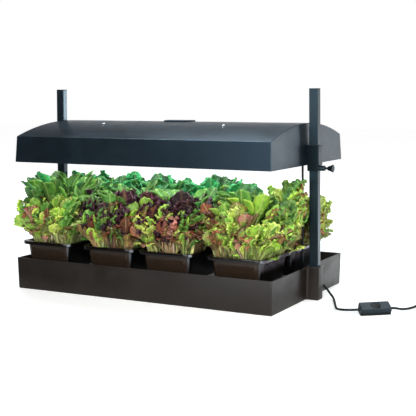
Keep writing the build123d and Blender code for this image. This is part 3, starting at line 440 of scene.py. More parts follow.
class GARDEN_OT_lamps(bpy.types.Operator):
    """Finish the lamps, driver and leads under the hood"""

    bl_idname = "garden.lamps"
    bl_label = "Lamps"

    def execute(self, context):
        finish(LAMP_FINISHES)
        lens, tree, shader, place = new_material("frosted_lens")
        grain = noise(tree, place, 1800.0, 2.0)
        glow = mix(tree, ramp(tree, grain, 0.3, 0.7), (0.86, 0.96, 1.0), (0.92, 0.99, 1.0))
        feed(tree, shader, {"Base Color": (0.93, 0.95, 0.96), "Transmission Weight": 0.75, "IOR": 1.49,
                            "Roughness": plus(tree, times(tree, grain, 0.15), 0.38),
                            "Emission Color": glow, "Emission Strength": LAMP_GLOW})
        bump(tree, shader, grain, 0.00005)
        dress(lens, "lamp_lens_front", "lamp_lens_rear")
        return {"FINISHED"}


# Trays, mat and compost

TRAY_COUNT = 8
TRAY_RIM_ROOM = 0.0115      # rim, wall and a little air beside the compost
TRAY_EDGE = 0.0005          # rounding of the edges
MAT_EDGE = 0.0012
COMPOST_CORNER = 0.085      # share by which a corner is drawn in
COMPOST_CRUMB = 0.0022      # how far a crumb stands up or sinks
COMPOST_SINK = 0.003        # the surface below the solid's top, and its edge below that
COMPOST_DEPTH = 0.028       # its underside below the solid's top
COMPOST_TAPER = (0.93, 0.94)    # its underside's width and length, as shares of the top's
COMPOST_CELLS = (22, 26)    # over one tray
COMPOST_EDGE = 0.97         # from here out it sinks
COMPOST_SEED = 11


def tray_names(stem):
    """The node names of one kind of piece in every tray."""
    return [f"{stem}_{number}" for number in range(1, TRAY_COUNT + 1)]


def centre_of(node):
    """Middle of a CAD node's box."""
    low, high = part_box(node)
    return (low + high) / 2


def reach_of(tray):
    """Half a tray's size inside its rim."""
    low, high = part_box(tray)
    return (high - low) / 2 - Vector((TRAY_RIM_ROOM, TRAY_RIM_ROOM, 0))


class GARDEN_OT_trays(bpy.types.Operator):
    """Thin gloss trays with softened rims, standing on a felt mat"""

    bl_idname = "garden.trays"
    bl_label = "Trays"

    def paint_wall_light(self, tree):
        """Painted light and shade on the tray walls below the rim: a painted brown reflection on the outer
        long walls, painted near-black shade on the other walls, a painted highlight down the corners and a
        painted grey reflection on the outer end.
        """
        shader = tree.nodes["Principled BSDF"]
        place = coordinate(tree, "Object")
        x, y, z = axes(tree, place)
        facing = axes(tree, coordinate(tree, "Normal"))
        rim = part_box(tray_names("grow_tray")[0])[1].z
        below = inverse(tree, ramp(tree, z, rim - 0.009, rim - 0.006))
        ends = ramp(tree, maths(tree, "ABSOLUTE", facing[0]), 0.55, 0.85)
        patchy = plus(tree, times(tree, noise(tree, place, 38.0, 4.0), 0.5), 0.6, clamp=True)
        plastic = shader.inputs["Base Color"].links[0].from_socket
        outside = ramp(tree, maths(tree, "ABSOLUTE", y), 0.09, 0.10)
        # painted brown reflection on the outer long walls, painted near-black shade on the end and inner
        # walls
        soil = mix(tree, times(tree, outside, inverse(tree, ends)), srgb("050505"), srgb("2b211a"))
        painted_wall = mix(tree, times(tree, below, patchy), plastic, soil)
        # painted highlight down the front-right and rear-left corners, and a painted grey reflection on the
        # outer end below the rim
        turned = times(tree, facing[0], times(tree, facing[1], -2.0))
        corner = times(tree, ramp(tree, turned, 0.86, 1.0), ramp(tree, z, rim - 0.05, rim - 0.004))
        painted_wall = mix(tree, times(tree, corner, 0.8), painted_wall, srgb("707a82"))
        # painted grey reflection on the outer end walls of the right-hand trays
        outer = times(tree, ramp(tree, x, 0.285, 0.295), ramp(tree, z, rim - 0.034, rim - 0.016))
        painted_wall = mix(tree, times(tree, times(tree, outer, ends), patchy), painted_wall, srgb("4a464e"))
        tree.links.new(painted_wall, shader.inputs["Base Color"])

    def execute(self, context):
        gloss = coated("tray_gloss", "tray_plastic", "tray_plastic*0.7", (0.10, 0.22), (260, 0.00006))
        self.paint_wall_light(gloss.node_tree)
        first = tray_names("grow_tray")[0]
        pattern = softened_mesh(first, TRAY_EDGE)
        for name in tray_names("grow_tray"):
            mesh = pattern.copy()
            mesh.transform(Matrix.Translation(centre_of(name) - centre_of(first)))
            new_piece(name.replace("grow", "gloss"), mesh, gloss, "base", "grow_tray", name)
        felt, tree, shader, place = new_material("mat_felt")
        fibre = noise(tree, place, 2200.0, 4.0, 0.7)
        cloud = noise(tree, place, 40.0, 3.0)
        feed(tree, shader, {"Base Color": mix(tree, fibre, srgb("151310"), srgb("2a2723")),
                            "Roughness": 0.95, "Sheen Weight": 0.3})
        bump(tree, shader, plus(tree, fibre, cloud), 0.0004)
        new_piece("wick_felt", softened_mesh("capillary_mat", MAT_EDGE, 3), felt,
                  "base", "capillary_mat", "capillary_mat")
        return {"FINISHED"}


class GARDEN_OT_compost(bpy.types.Operator):
    """Crumbly potting mix in each tray"""

    bl_idname = "garden.compost"
    bl_label = "Compost"

    def execute(self, context):
        material, tree, shader, place = new_material("compost")
        crumb = noise(tree, place, 320.0, 6.0, 0.7)
        speck = noise(tree, place, 900.0, 2.0, 0.5)
        brown = mix(tree, ramp(tree, crumb, 0.35, 0.65), tone("compost*0.4"), tone("compost"))
        brown = mix(tree, ramp(tree, speck, 0.68, 0.72), brown, srgb("8d7a5c"))
        feed(tree, shader, {"Base Color": brown, "Roughness": 0.95})
        bump(tree, shader, crumb, 0.002)
        chance = random.Random(COMPOST_SEED)
        shape = bmesh.new()
        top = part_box("potting_mix")[1].z
        for name in tray_names("grow_tray"):
            middle, half = centre_of(name), reach_of(name)
            made = bmesh.ops.create_grid(shape, x_segments=COMPOST_CELLS[0], y_segments=COMPOST_CELLS[1],
                                         size=1.0)["verts"]
            for vert in made:
                across, along = vert.co.x, vert.co.y
                edge = max(abs(across), abs(along))
                lift = chance.uniform(-COMPOST_CRUMB, COMPOST_CRUMB)
                lift -= COMPOST_SINK if edge > COMPOST_EDGE else 0
                drawn = 1 - COMPOST_CORNER * (across * along) ** 4
                vert.co = Vector((middle.x + across * half.x * drawn, middle.y + along * half.y * drawn,
                                  top - COMPOST_SINK + lift))
            skirt = [e for e in {e for v in made for e in v.link_edges} if e.is_boundary]
            grown = bmesh.ops.extrude_edge_only(shape, edges=skirt)["geom"]
            for vert in (g for g in grown if isinstance(g, bmesh.types.BMVert)):
                vert.co.z = top - COMPOST_DEPTH
                vert.co.x = middle.x + (vert.co.x - middle.x) * COMPOST_TAPER[0]
                vert.co.y = middle.y + (vert.co.y - middle.y) * COMPOST_TAPER[1]
            rim = [e for e in grown if isinstance(e, bmesh.types.BMEdge) and e.is_boundary]
            bmesh.ops.contextual_create(shape, geom=rim)
        bmesh.ops.recalc_face_normals(shape, faces=shape.faces)
        new_piece("crumbly_mix", finished_mesh("crumbly_mix", shape), material,
                  "base", "potting_mix", "potting_mix")
        return {"FINISHED"}


# Salad leaves

# Each leaf kind: cells across and along, stalk share and width, half width, width of the tip,
# cup, ruffle, ragged edge
LEAF_KINDS = {
    "spoon": (6, 10, 0.56, 0.020, 0.112, 0.44, 0.50, 0.006, 0.02),
    "round": (6, 10, 0.58, 0.022, 0.138, 0.50, 0.55, 0.012, 0.04),
    "frill": (6, 10, 0.40, 0.032, 0.180, 0.62, 0.30, 0.036, 0.20),
    "curl": (8, 9, 0.46, 0.030, 0.200, 0.80, 0.25, 0.056, 0.22),
    "oak": (6, 11, 0.34, 0.028, 0.145, 0.45, 0.25, 0.022, 0.42),
    "droop": (6, 10, 0.24, 0.036, 0.215, 0.62, 0.25, 0.036, 0.20),
    "stem": (2, 7, 0.80, 0.016, 0.045, 0.40, 0.40, 0.004, 0.05),
}
LEAF_VARIANTS = 8
LEAF_BENDS = (0.10, 1.20)      # turn from root to tip, in radians
DROOP_BENDS = (1.50, 2.40)     # the same for leaves that hang over a rim
LEAF_TWIST = 0.8               # most turn round its own stalk
LEAF_SWAY = 0.2                # most drift to one side
STALK_ROWS = 2
SPINE_STEPS = 48
SPINE_POWER = 1.8              # a leaf bends more towards its tip
LEAF_LIGHTS = (0.50, 1.25)     # how dark and how light a leaf may be
LEAF_WARMTH = 0.08             # how far its colour may turn to red or blue
FIT_TRIES = 8
# Changes of lean, length and turn for a leaf that is too high or too wide
FIT_HIGH = (0.95, 0.94, 0)
FIT_WIDE = (0.7, 0.98, 0.7)
LEAF_LAYERS = ("leaf_tint", "leaf_shade", "leaf_margin", "leaf_base")

# Leaf colours: blade, blade in shade, margin, stalk
LEAF_TINTS = {
    "mid": "4a832b 2c6620 659b38 a0b864",
    "deep": "267630 124f20 368238 82a65a",
    "emerald": "1f9c50 0d7a3c 30a85a 86be74",
    "bright": "8fba36 5f9428 aacd4a b4c674",
    "yellow": "b6c84e 8aa637 c9d668 ccd088",
    "edge": "98a642 6c7830 7c3c28 c4b880",
    "burgundy": "250b14 15060b 47172c 6c4f3c",
    "wine": "3a1320 230b15 581e38 866448",
    "bronze": "6a5a26 4a3a1a 6a3222 baa468",
    "rust": "864c28 60361e 7e3222 caa074",
    "peach": "d39a66 b97a48 b05c3c e0bc92",
    "pink": "d2937c bd7a64 ae564e ead0b4",
    "stalk": "96a852 74893c a4b562 b9c284",
}

# Each variety: leaf kind, tints, height shares, leans, leaves on a plant
VARIETIES = {
    "spoon": ("spoon", "mid mid deep", (0.80, 1.06), (0.02, 0.36), 15),
    "light": ("spoon", "bright mid bright", (0.68, 1.0), (0.04, 0.44), 14),
    "butter": ("round", "emerald emerald deep", (0.78, 1.04), (0.03, 0.42), 16),
    "emerald": ("frill", "emerald deep emerald", (0.74, 1.02), (0.04, 0.42), 12),
    "frill": ("frill", "bright mid", (0.56, 0.94), (0.05, 0.52), 13),
    "yellow": ("frill", "yellow bright", (0.44, 0.80), (0.08, 0.62), 13),
    "lollo": ("curl", "burgundy wine burgundy", (0.58, 1.0), (0.05, 0.58), 16),
    "oak": ("oak", "bronze rust bronze", (0.48, 0.86), (0.08, 0.58), 13),
    "edged": ("frill", "edge edge bright", (0.46, 0.82), (0.08, 0.58), 13),
    "rose": ("frill", "yellow bright pink edge yellow", (0.32, 0.56), (0.10, 0.66), 12),
}

# What is sown in each tray: the front row, the second row, then the rest
TRAY_PLANTS = (
    ("oak rose yellow frill", "spoon spoon oak spoon", "spoon spoon butter"),
    ("oak frill lollo oak", "lollo spoon lollo frill", "spoon spoon oak"),
    ("yellow lollo oak frill", "lollo lollo lollo oak", "spoon lollo lollo"),
    ("oak yellow rose edged", "oak light light edged", "spoon butter oak"),
    ("spoon lollo", "butter spoon", "butter emerald frill"),
    ("emerald spoon", "butter emerald", "butter emerald frill lollo"),
    ("butter lollo", "emerald butter", "butter frill"),
    ("butter edged", "frill yellow", "emerald edged yellow"),
)
# Plants whose leaves close the right end
ENDS = {3: ("yellow", "edged", "frill"), 7: ("yellow", "edged", "yellow")}
FRINGE_TINTS = (
    "yellow edge pink bright stalk", "stalk bright bronze mid rust", "rust yellow edge bronze pink",
    "edge yellow peach bright bronze stalk", "yellow bright", "bright edge", "bright bronze",
    "edge yellow peach",
)
STALK_TINTS = ("stalk", "yellow", "stalk", "edge", "bright")
GOLDEN_TURN = math.radians(137.5)
LEAF_HANG = 0.010              # how far leaves hang below their room
SCREEN_TRAY = 3
POST_ROOM = (0.316, 0.016)      # leaves stay out of this room round the posts
TRAY_RISES = (1.10, 0.97, 0.95, 1.02, 1.04, 1.0, 1.0, 1.06)   # height of each bed
FRONT_SHARE = 0.86             # height of the front row
END_LEAN = 0.24                # extra lean over the right end
LEAF_SEED = 2024
PLANT_PLACES = (0.2, 0.8)      # where a plant may stand in its square
PLANT_LEANS = (0.30, 0.22)     # how far a plant at the rim leans out, across and along
PLANT_LENGTHS = (0.88, 1.02)   # how much its leaves differ
ROOT_SPREAD = 0.006            # how far a plant's leaves root from its middle
ROOT_DEPTH = 0.004             # roots below the compost's top
PLANT_REACH = 0.9              # share of the way to the rim in which plants stand
SHELL_INSET = (0.6, 0.95)      # the same for leaves that close the sides, and for the fringe
FRINGE_INSET = (0.78, 0.92)
SHELL_HEIGHTS = (0.0, 0.32)    # where shell leaves root, as shares of the bed's height
LOW_SHELL = 0.08               # shell leaves below this share take the fringe's tints
SHELL_LEANS = (0.25, 0.95)
SHELL_LENGTHS = (0.060, 0.105)
FRINGE_HEIGHTS = (0.010, 0.022)    # where the fringe roots, above the soil
# Leans and lengths in the fringe: stalks, hanging leaves, small leaves
STALK_FORM = ((0.05, 0.4), (0.06, 0.12))
DROOP_FORM = ((0.0, 0.45), (0.038, 0.082))
SMALL_FORM = ((0.5, 1.45), (0.050, 0.100))
SMALL_KINDS = ("frill", "curl", "oak", "spoon")


def blade_width(kind, blade):
    """Half the blade's width at a place along it, as a share of its widest."""
    tip = LEAF_KINDS[kind][5]
    widest = 0.52 if kind in ("spoon", "round", "stem") else 0.68
    if blade < widest:
        rise = blade / widest
        return rise * rise * (3 - 2 * rise)
    fall = (blade - widest) / (1 - widest)
    return tip + (1 - tip) * math.sqrt(max(0.0, 1 - fall * fall))


def leaf_pattern(kind, chance):
    """One leaf of unit length that grows up +Z and arches towards +Y, with its own UV map."""
    columns, rows, stalk_share, stalk, half, tip, cup, ruffle, ragged = LEAF_KINDS[kind]
    drop = tip * half / (1 - stalk_share)
    shape = bmesh.new()
    shape.loops.layers.uv.new("leaf_uv")
    bmesh.ops.create_grid(shape, x_segments=columns, y_segments=rows, size=1.0, calc_uvs=True)
    bend = chance.uniform(*(DROOP_BENDS if kind == "droop" else LEAF_BENDS))
    twist = chance.uniform(-LEAF_TWIST, LEAF_TWIST)
    sway = chance.uniform(-LEAF_SWAY, LEAF_SWAY)
    folds = [[(-1) ** row * chance.uniform(0.4, 1.3) for row in range(rows + 1)] for _ in range(2)]
    nicks = [[1 + ragged * chance.uniform(-1.0, 0.7) for _ in range(rows + 1)] for _ in range(2)]
    crest = [(-1) ** column * chance.uniform(0.4, 1.2) for column in range(columns + 1)]
    spine = [Vector((0, 0, 0))]
    for step in range(SPINE_STEPS):
        lean = bend * ((step + 0.5) / SPINE_STEPS) ** SPINE_POWER
        way = Vector((sway * step / SPINE_STEPS, math.sin(lean), math.cos(lean)))
        spine.append(spine[-1] + way / SPINE_STEPS)
    for vert in shape.verts:
        side = vert.co.x
        row, column = round((vert.co.y + 1) / 2 * rows), round((side + 1) / 2 * columns)
        blade = 1 - (1 - max(0, row - STALK_ROWS) / (rows - STALK_ROWS)) ** 1.3
        share = stalk_share * row / STALK_ROWS
        width = stalk * (1.3 - 0.4 * row / STALK_ROWS)
        if row > STALK_ROWS:
            # the tip's corners fall back, which rounds its outline
            share = stalk_share + (1 - stalk_share) * (blade - drop * side * side * blade ** 3)
            width = stalk + (half - stalk) * blade_width(kind, blade) * nicks[side > 0][row]
        lean = bend * share ** SPINE_POWER
        turn = twist * share
        inward = (Vector((math.sin(turn), -math.cos(turn), 0)) * math.cos(lean)
                  + Vector((0, 0, math.sin(lean))))
        wide = Vector((math.cos(turn), math.sin(turn), 0))
        fold = folds[side > 0][row] * abs(side) ** 1.5 + blade ** 5 * crest[column]
        lift = cup * width * side * side + ruffle * min(1.0, 2 * blade) * fold
        whole = min(SPINE_STEPS - 1, int(share * SPINE_STEPS))
        middle = spine[whole].lerp(spine[whole + 1], share * SPINE_STEPS - whole)
        vert.co = middle + wide * (side * width) + inward * lift
    return finished_mesh("leaf_" + kind, shape)


def leaf_material():
    """Leaf skin: tints carried by the leaf, a pale midrib, side veins and a blistered surface."""
    material, tree, shader, place = new_material("salad_leaf")

    def carried(name):
        node = tree.nodes.new("ShaderNodeAttribute")
        node.attribute_name = name
        return node.outputs["Color"]

    leaf_map = tree.nodes.new("ShaderNodeUVMap")
    leaf_map.uv_map = "leaf_uv"
    across, along, _ = axes(tree, leaf_map.outputs["UV"])
    off_rib = maths(tree, "ABSOLUTE", less(tree, across, 0.5))
    rib = inverse(tree, ramp(tree, off_rib, 0.012, 0.085))
    slant = less(tree, along, times(tree, off_rib, 0.42))
    vein = ramp(tree, maths(tree, "SINE", times(tree, slant, 60.0)), 0.66, 1.0)
    blotch = noise(tree, place, 75.0, 3.0)
    fine = noise(tree, place, 480.0, 3.0, 0.6)
    blade = mix(tree, ramp(tree, blotch, 0.34, 0.66), carried("leaf_tint"), carried("leaf_shade"))
    edge = times(tree, ramp(tree, off_rib, 0.30, 0.5), ramp(tree, along, 0.35, 0.6))
    crown = ramp(tree, along, 0.84, 1.0)
    margin = times(tree, maths(tree, "MAXIMUM", edge, crown), 0.85)
    blade = mix(tree, margin, blade, carried("leaf_margin"))
    foot = inverse(tree, ramp(tree, along, 0.15, 0.55))
    pale = maths(tree, "MAXIMUM", times(tree, rib, 0.55), times(tree, foot, 0.92))
    pale = maths(tree, "MAXIMUM", pale, times(tree, vein, 0.2))
    blade = mix(tree, pale, blade, carried("leaf_base"))
    feed(tree, shader, {"Base Color": blade, "Roughness": plus(tree, times(tree, fine, 0.24), 0.36)})
    raised = less(tree, times(tree, fine, 0.7), times(tree, vein, 0.5))
    bump(tree, shader, plus(tree, raised, rib), 0.0009)
    return material


class LeafBed:
    """The leaves of one tray as one mesh, kept inside the plant's room."""

    def __init__(self, patterns, low, high, chance):
        self.patterns = patterns
        self.probes = {mesh: [v.co.copy() for v in mesh.vertices if v.index % 3 == 0]
                       for group in patterns.values() for mesh in group}
        self.low, self.high = low, high
        self.chance = chance
        self.shape = bmesh.new()
        self.shape.loops.layers.uv.new("leaf_uv")
        for layer in LEAF_LAYERS:
            self.shape.verts.layers.float_color.new(layer)

    def beyond(self, place, pattern):
        """The axis along which a leaf leaves the room, or None."""
        for probe in self.probes[pattern]:
            point = place @ probe
            if abs(point.x) > POST_ROOM[0] and abs(point.y) < POST_ROOM[1]:
                return 0
            for axis in range(3):
                if not self.low[axis] <= point[axis] <= self.high[axis]:
                    return axis
        return None

    def grow(self, kind, tint, root, way, lean, length, spin=0.5):
        """Add a leaf, drawn in until it fits; one that never fits is left out."""
        pattern = self.chance.choice(self.patterns[kind])
        spin = self.chance.uniform(-spin, spin)
        for _ in range(FIT_TRIES):
            place = (Matrix.Translation(root) @ Matrix.Rotation(way - math.pi / 2, 4, "Z")
                     @ Matrix.Rotation(-lean, 4, "X") @ Matrix.Rotation(spin, 4, "Z")
                     @ Matrix.Scale(length, 4))
            axis = self.beyond(place, pattern)
            if axis is None:
                self.lay(pattern, place, tint)
                return
            # too high: a shorter leaf; too wide: a more upright one whose arch turns away
            straighter, shorter, turn = FIT_HIGH if axis == 2 else FIT_WIDE
            lean *= straighter
            length *= shorter
            spin += turn

    def lay(self, pattern, place, tint):
        """Copy a pattern into the bed with its colours."""
        before = len(self.shape.verts)
        self.shape.from_mesh(pattern)
        self.shape.verts.ensure_lookup_table()
        new = self.shape.verts[before:]
        bmesh.ops.transform(self.shape, matrix=place, verts=new)
        light = self.chance.uniform(*LEAF_LIGHTS)
        warm = self.chance.uniform(-LEAF_WARMTH, LEAF_WARMTH)
        for name, code in zip(LEAF_LAYERS, LEAF_TINTS[tint].split()):
            red, green, blue = srgb(code)
            colour = (min(1, red * light * (1 + warm)), min(1, green * light),
                      min(1, blue * light * (1 - warm)), 1)
            layer = self.shape.verts.layers.float_color[name]
            for vert in new:
                vert[layer] = colour

    def mesh(self, name):
        """The finished mesh."""
        return finished_mesh(name, self.shape)


def rim_spot(chance, number, count, middle, reach, inset):
    """One of a count of bearings round a tray, and a place at a share of the way out to the rim."""
    angle = 2 * math.pi * (number + chance.uniform(-0.5, 0.5)) / count
    square = max(abs(math.cos(angle)), abs(math.sin(angle))) / chance.uniform(*inset)
    return angle, Vector((middle.x + math.cos(angle) / square * reach.x,
                          middle.y + math.sin(angle) / square * reach.y, 0))


class GARDEN_OT_greens(bpy.types.Operator):
    """A bed of mixed salad plants in each tray"""

    bl_idname = "garden.greens"
    bl_label = "Greens"

    def plants(self, bed, index, middle, reach, soil):
        """Rosettes on a loose grid, each of one variety."""
        setting, chance = sizes(), bed.chance
        front, second, rest = (names.split() for names in TRAY_PLANTS[index])
        rise = (setting.canopy_height - soil) * TRAY_RISES[index]
        for row in range(setting.plant_rows):
            for column in range(setting.plant_columns):
                across = (column + chance.uniform(*PLANT_PLACES)) / setting.plant_columns * 2 - 1
                along = (row + chance.uniform(*PLANT_PLACES)) / setting.plant_rows * 2 - 1
                sown = front if row == 0 else second
                name = sown[column % len(sown)] if row < 2 else chance.choice(rest)
                if column == setting.plant_columns - 1:
                    name = chance.choice(ENDS.get(index, (name,)))
                kind, tints, heights, leans, count = VARIETIES[name]
                lower = FRONT_SHARE if row == 0 else 1.0
                over = END_LEAN if index in ENDS and column == setting.plant_columns - 1 else 0
                turn = chance.uniform(0, 2 * math.pi)
                for number in range(count):
                    share = number / (count - 1)
                    way = turn + number * GOLDEN_TURN
                    lean = leans[0] + (leans[1] - leans[0]) * share + chance.uniform(-0.06, 0.06)
                    # the whole plant leans out over the rim
                    push = Vector((math.cos(way) * lean + across * PLANT_LEANS[0] + over,
                                   math.sin(way) * lean + along * PLANT_LEANS[1]))
                    height = heights[1] + (heights[0] - heights[1]) * share
                    length = lower * rise * height * chance.uniform(*PLANT_LENGTHS)
                    root = Vector((middle.x + across * reach.x + math.cos(way) * ROOT_SPREAD,
                                   middle.y + along * reach.y + math.sin(way) * ROOT_SPREAD, soil))
                    tint = chance.choice(tints.split())
                    bed.grow(kind, tint, root, math.atan2(push.y, push.x), push.length, length)

    def shell(self, bed, index, middle, reach, soil):
        """Leaves part way up that turn outwards and close the sides of the bed."""
        setting, chance = sizes(), bed.chance
        front, _, rest = (names.split() for names in TRAY_PLANTS[index])
        for number in range(setting.shell_leaves):
            angle, root = rim_spot(chance, number, setting.shell_leaves, middle, reach, SHELL_INSET)
            height = chance.uniform(*SHELL_HEIGHTS)
            root.z = soil + height * (setting.canopy_height - soil)
            ahead = math.sin(angle) < -0.3
            kind, tints, _, _, _ = VARIETIES[chance.choice(front if ahead else ENDS.get(index, rest))]
            tint = chance.choice((tints if height > LOW_SHELL else FRINGE_TINTS[index]).split())
            bed.grow(kind, tint, root, angle + chance.uniform(-0.7, 0.7), chance.uniform(*SHELL_LEANS),
                     chance.uniform(*SHELL_LENGTHS), 1.3)

    def fringe(self, bed, index, middle, reach, soil):
        """Small leaves and stalks that hang over the rim."""
        setting, chance = sizes(), bed.chance
        tints = FRINGE_TINTS[index].split()
        for number in range(setting.fringe_leaves):
            angle, root = rim_spot(chance, number, setting.fringe_leaves, middle, reach, FRINGE_INSET)
            root.z = soil + chance.uniform(*FRINGE_HEIGHTS)
            way = angle + chance.uniform(-0.6, 0.6)
            if number % 8 == 0:
                kind, tint, (leans, lengths) = "stem", chance.choice(STALK_TINTS), STALK_FORM
            elif number % 2:
                kind, tint, (leans, lengths) = "droop", chance.choice(tints), DROOP_FORM
            else:
                kind, tint, (leans, lengths) = chance.choice(SMALL_KINDS), chance.choice(tints), SMALL_FORM
            bed.grow(kind, tint, root, way, chance.uniform(*leans), chance.uniform(*lengths), 0.6)

    def screen(self, bed, index, middle, reach, soil):
        """Leaves that lean out of the front right tray and hide the lamp lead."""
        chance = bed.chance
        for _ in range(sizes().screen_leaves if index == SCREEN_TRAY else 0):
            root = Vector((middle.x + reach.x * chance.uniform(0.92, 1.0),
                           middle.y + reach.y * chance.uniform(0.55, 1.0),
                           soil + chance.uniform(0.012, 0.085)))
            kind, tints, _, _, _ = VARIETIES[chance.choice(ENDS[index])]
            bed.grow(kind, chance.choice(tints.split()), root, chance.uniform(-0.4, 0.5),
                     chance.uniform(0.30, 0.65), chance.uniform(0.070, 0.125), 0.6)

    def execute(self, context):
        setting = sizes()
        chance = random.Random(LEAF_SEED)
        patterns = {kind: [leaf_pattern(kind, chance) for _ in range(LEAF_VARIANTS)] for kind in LEAF_KINDS}
        material = leaf_material()
        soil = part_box("potting_mix")[1].z - ROOT_DEPTH
        slack = Vector((setting.leaf_slack, setting.leaf_slack * 0.6, 0))
        for index, name in enumerate(tray_names("salad_greens")):
            tray = tray_names("grow_tray")[index]
            low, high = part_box(name)
            reach = reach_of(tray)
            bed = LeafBed(patterns, low - slack - Vector((0, 0, LEAF_HANG)), high + slack, chance)
            for tier in (self.plants, self.shell, self.fringe, self.screen):
                tier(bed, index, centre_of(tray), reach * PLANT_REACH if tier == self.plants else reach, soil)
            piece = new_piece(f"leaf_bed_{index + 1}", bed.mesh(f"leaf_bed_{index + 1}"), material,
                              "base", "salad_greens", name)
            skin = piece.modifiers.new("leaf_skin", "SOLIDIFY")
            skin.thickness = setting.leaf_thickness
            skin.offset = 0
        for group in patterns.values():
            for mesh in group:
                bpy.data.meshes.remove(mesh)
        return {"FINISHED"}


# Cords: routes, switch and coil in millimetres

WALL_POINT = (328.52, 25.384, 39.524)
OUTER_ROUTE = (
    (349.0, 31.4, 28.9), (364.0, 24.5, 18.5), (373.0, 19.5, 10.5), (382.0, 12.0, 5.2),
    (389.5, -2.0, 3.0), (398.5, -22.0, 2.5), (413.0, -55.0, 3.2), (427.2, -88.7, 5.5),
    (438.0, -103.1, 7.6), (449.9, -110.5, 9.3), (462.7, -112.6, 10.6),
)
COIL_ROUTE = ((551.0, -42.0, 7.2), (557.5, -26.0, 4.8), (562.5, -7.0, 3.4), (566.8, 14.0, 3.2))
LEAD_AT = (322.5, -19.0)            # where the lamp lead hangs
LEAD_HANGS = (0, 60, 120, 180)      # its points below the driver
LEAD_ROUTE = (
    (*LEAD_AT, 106.0), (*LEAD_AT, 90.0), (315.0, -9.0, 74.0), (308.5, 2.0, 62.0),
    (308.5, 13.0, 53.5), (317.0, 22.0, 45.5),
)
SWITCH_HEADING = math.radians(39.0)
SWITCH_TILT = math.atan2(2.3, 5.0)
SWITCH_ORIGIN = Vector((506.8, -78.8, 8.0 * math.sin(SWITCH_TILT)))
SWITCH_HALF = 65.5 / 2
SWITCH_CORD_W = 9.0
SWITCH_LEAD_IN = 11.0
COIL_CENTRE = (604.0, 62.0)
COIL_OUTER = 35.6
COIL_PITCH = 5.5
COIL_LAYER = 5.5
COIL_TURNS = 4
COIL_LOW = 3.7
COIL_RUN_IN = 22.0
TURN_POINTS = 8           # control points in a half turn
CORD_BORE = 2.5
CORD_SIDES = 4            # finer steps round the cord and along it
CORD_STEPS = 6


def switch_ends():
    """Where the cord meets the switch, and its straight lead-ins, in millimetres."""
    along = Vector((math.cos(SWITCH_HEADING), math.sin(SWITCH_HEADING), 0))
    across = Vector((-math.sin(SWITCH_HEADING), math.cos(SWITCH_HEADING), 0))
    up = Vector((0, 0, 1)) * math.cos(SWITCH_TILT) - across * math.sin(SWITCH_TILT)
    middle = SWITCH_ORIGIN + up * SWITCH_CORD_W
    start, end = middle - along * SWITCH_HALF, middle + along * SWITCH_HALF
    return start - along * SWITCH_LEAD_IN, start, end, end + along * SWITCH_LEAD_IN


def coil_points():
    """Control points of the put-away coil: in on the floor, up, and out on top."""
    points = []
    here = Vector((COIL_CENTRE[0] - COIL_OUTER, COIL_CENTRE[1], COIL_LOW))
    radius, side, count = COIL_OUTER, 1, 2 * COIL_TURNS
    swell = 1 + (math.pi / TURN_POINTS) ** 2 / 8
    for step in range(2 * count + 2):
        rise = COIL_LAYER if step == count else 0
        middle = here + Vector((side * radius, 0, 0))
        for part in range(TURN_POINTS):
            angle = math.pi * part / TURN_POINTS
            share = part / TURN_POINTS
            points.append(Vector((
                middle.x - side * radius * swell * math.cos(angle),
                middle.y + side * radius * swell * math.sin(angle),
                here.z + rise * share * share * (3 - 2 * share),
            )))
        here = Vector((here.x + side * 2 * radius, here.y, here.z + rise))
        side = -side
        radius += -COIL_PITCH / 2 if step < count else COIL_PITCH / 2
    points.append(here)
    points.append(here + Vector((0, 2 * CORD_BORE, 0)))
    return points


def cord_curve(name, points, radius):
    """A smooth curve through the span of its control points, with a round section."""
    data = bpy.data.curves.new(name, "CURVE")
    data.dimensions = "3D"
    data.bevel_depth = radius
    data.bevel_resolution = CORD_SIDES
    data.use_fill_caps = True
    data.resolution_u = CORD_STEPS
    spline = data.splines.new("NURBS")
    spline.points.add(len(points) - 1)
    for point, place in zip(spline.points, points):
        point.co = (*(Vector(place) * MM), 1)
    spline.order_u = 3
    spline.use_endpoint_u = True
    return placed(name, data)


def curve_length(points):
    """Length of the smooth curve, in metres."""
    ghost = cord_curve("measure", points, 0)
    mesh = bpy.data.meshes.new_from_object(ghost)
    ends = [[mesh.vertices[index].co for index in edge.vertices] for edge in mesh.edges]
    length = sum((start - end).length for start, end in ends)
    bpy.data.meshes.remove(mesh)
    bpy.data.objects.remove(ghost)
    return length


CORD_FINISHES = (
    ("grip_rubber", "1a2226", "131a1d", (0.45, 0.6), (1500, 0.00006), {}, "cord_grip"),
    ("tie_strap", "202224", "17191a", (0.35, 0.5), (1500, 0.00006), {}, "coil_tie"),
)
SWITCH_FINISHES = (
    ("switch_cover_plastic", "switch_plastic", "switch_plastic*0.85", (0.36, 0.48), (1600, 0.00005),
     {"specular": 0.25}, "switch_cover"),
    ("switch_base_plastic", "switch_plastic*0.3", "switch_plastic*0.25", (0.36, 0.5), (1600, 0.00005),
     {"specular": 0.2}, "switch_base"),
    ("rocker_gloss", "0a0b0b", "060707", (0.10, 0.18), (1200, 0.00002), {"specular": 0.06}, "switch_rocker"),
    ("plug_plastic", "1b2326", "141a1c", (0.4, 0.55), (1500, 0.00006), {}, "plug_body"),
    ("blade_brass", "c9a95c", "b3934a", (0.2, 0.36), (2500, 0.00001), METAL, "plug_blades"),
)


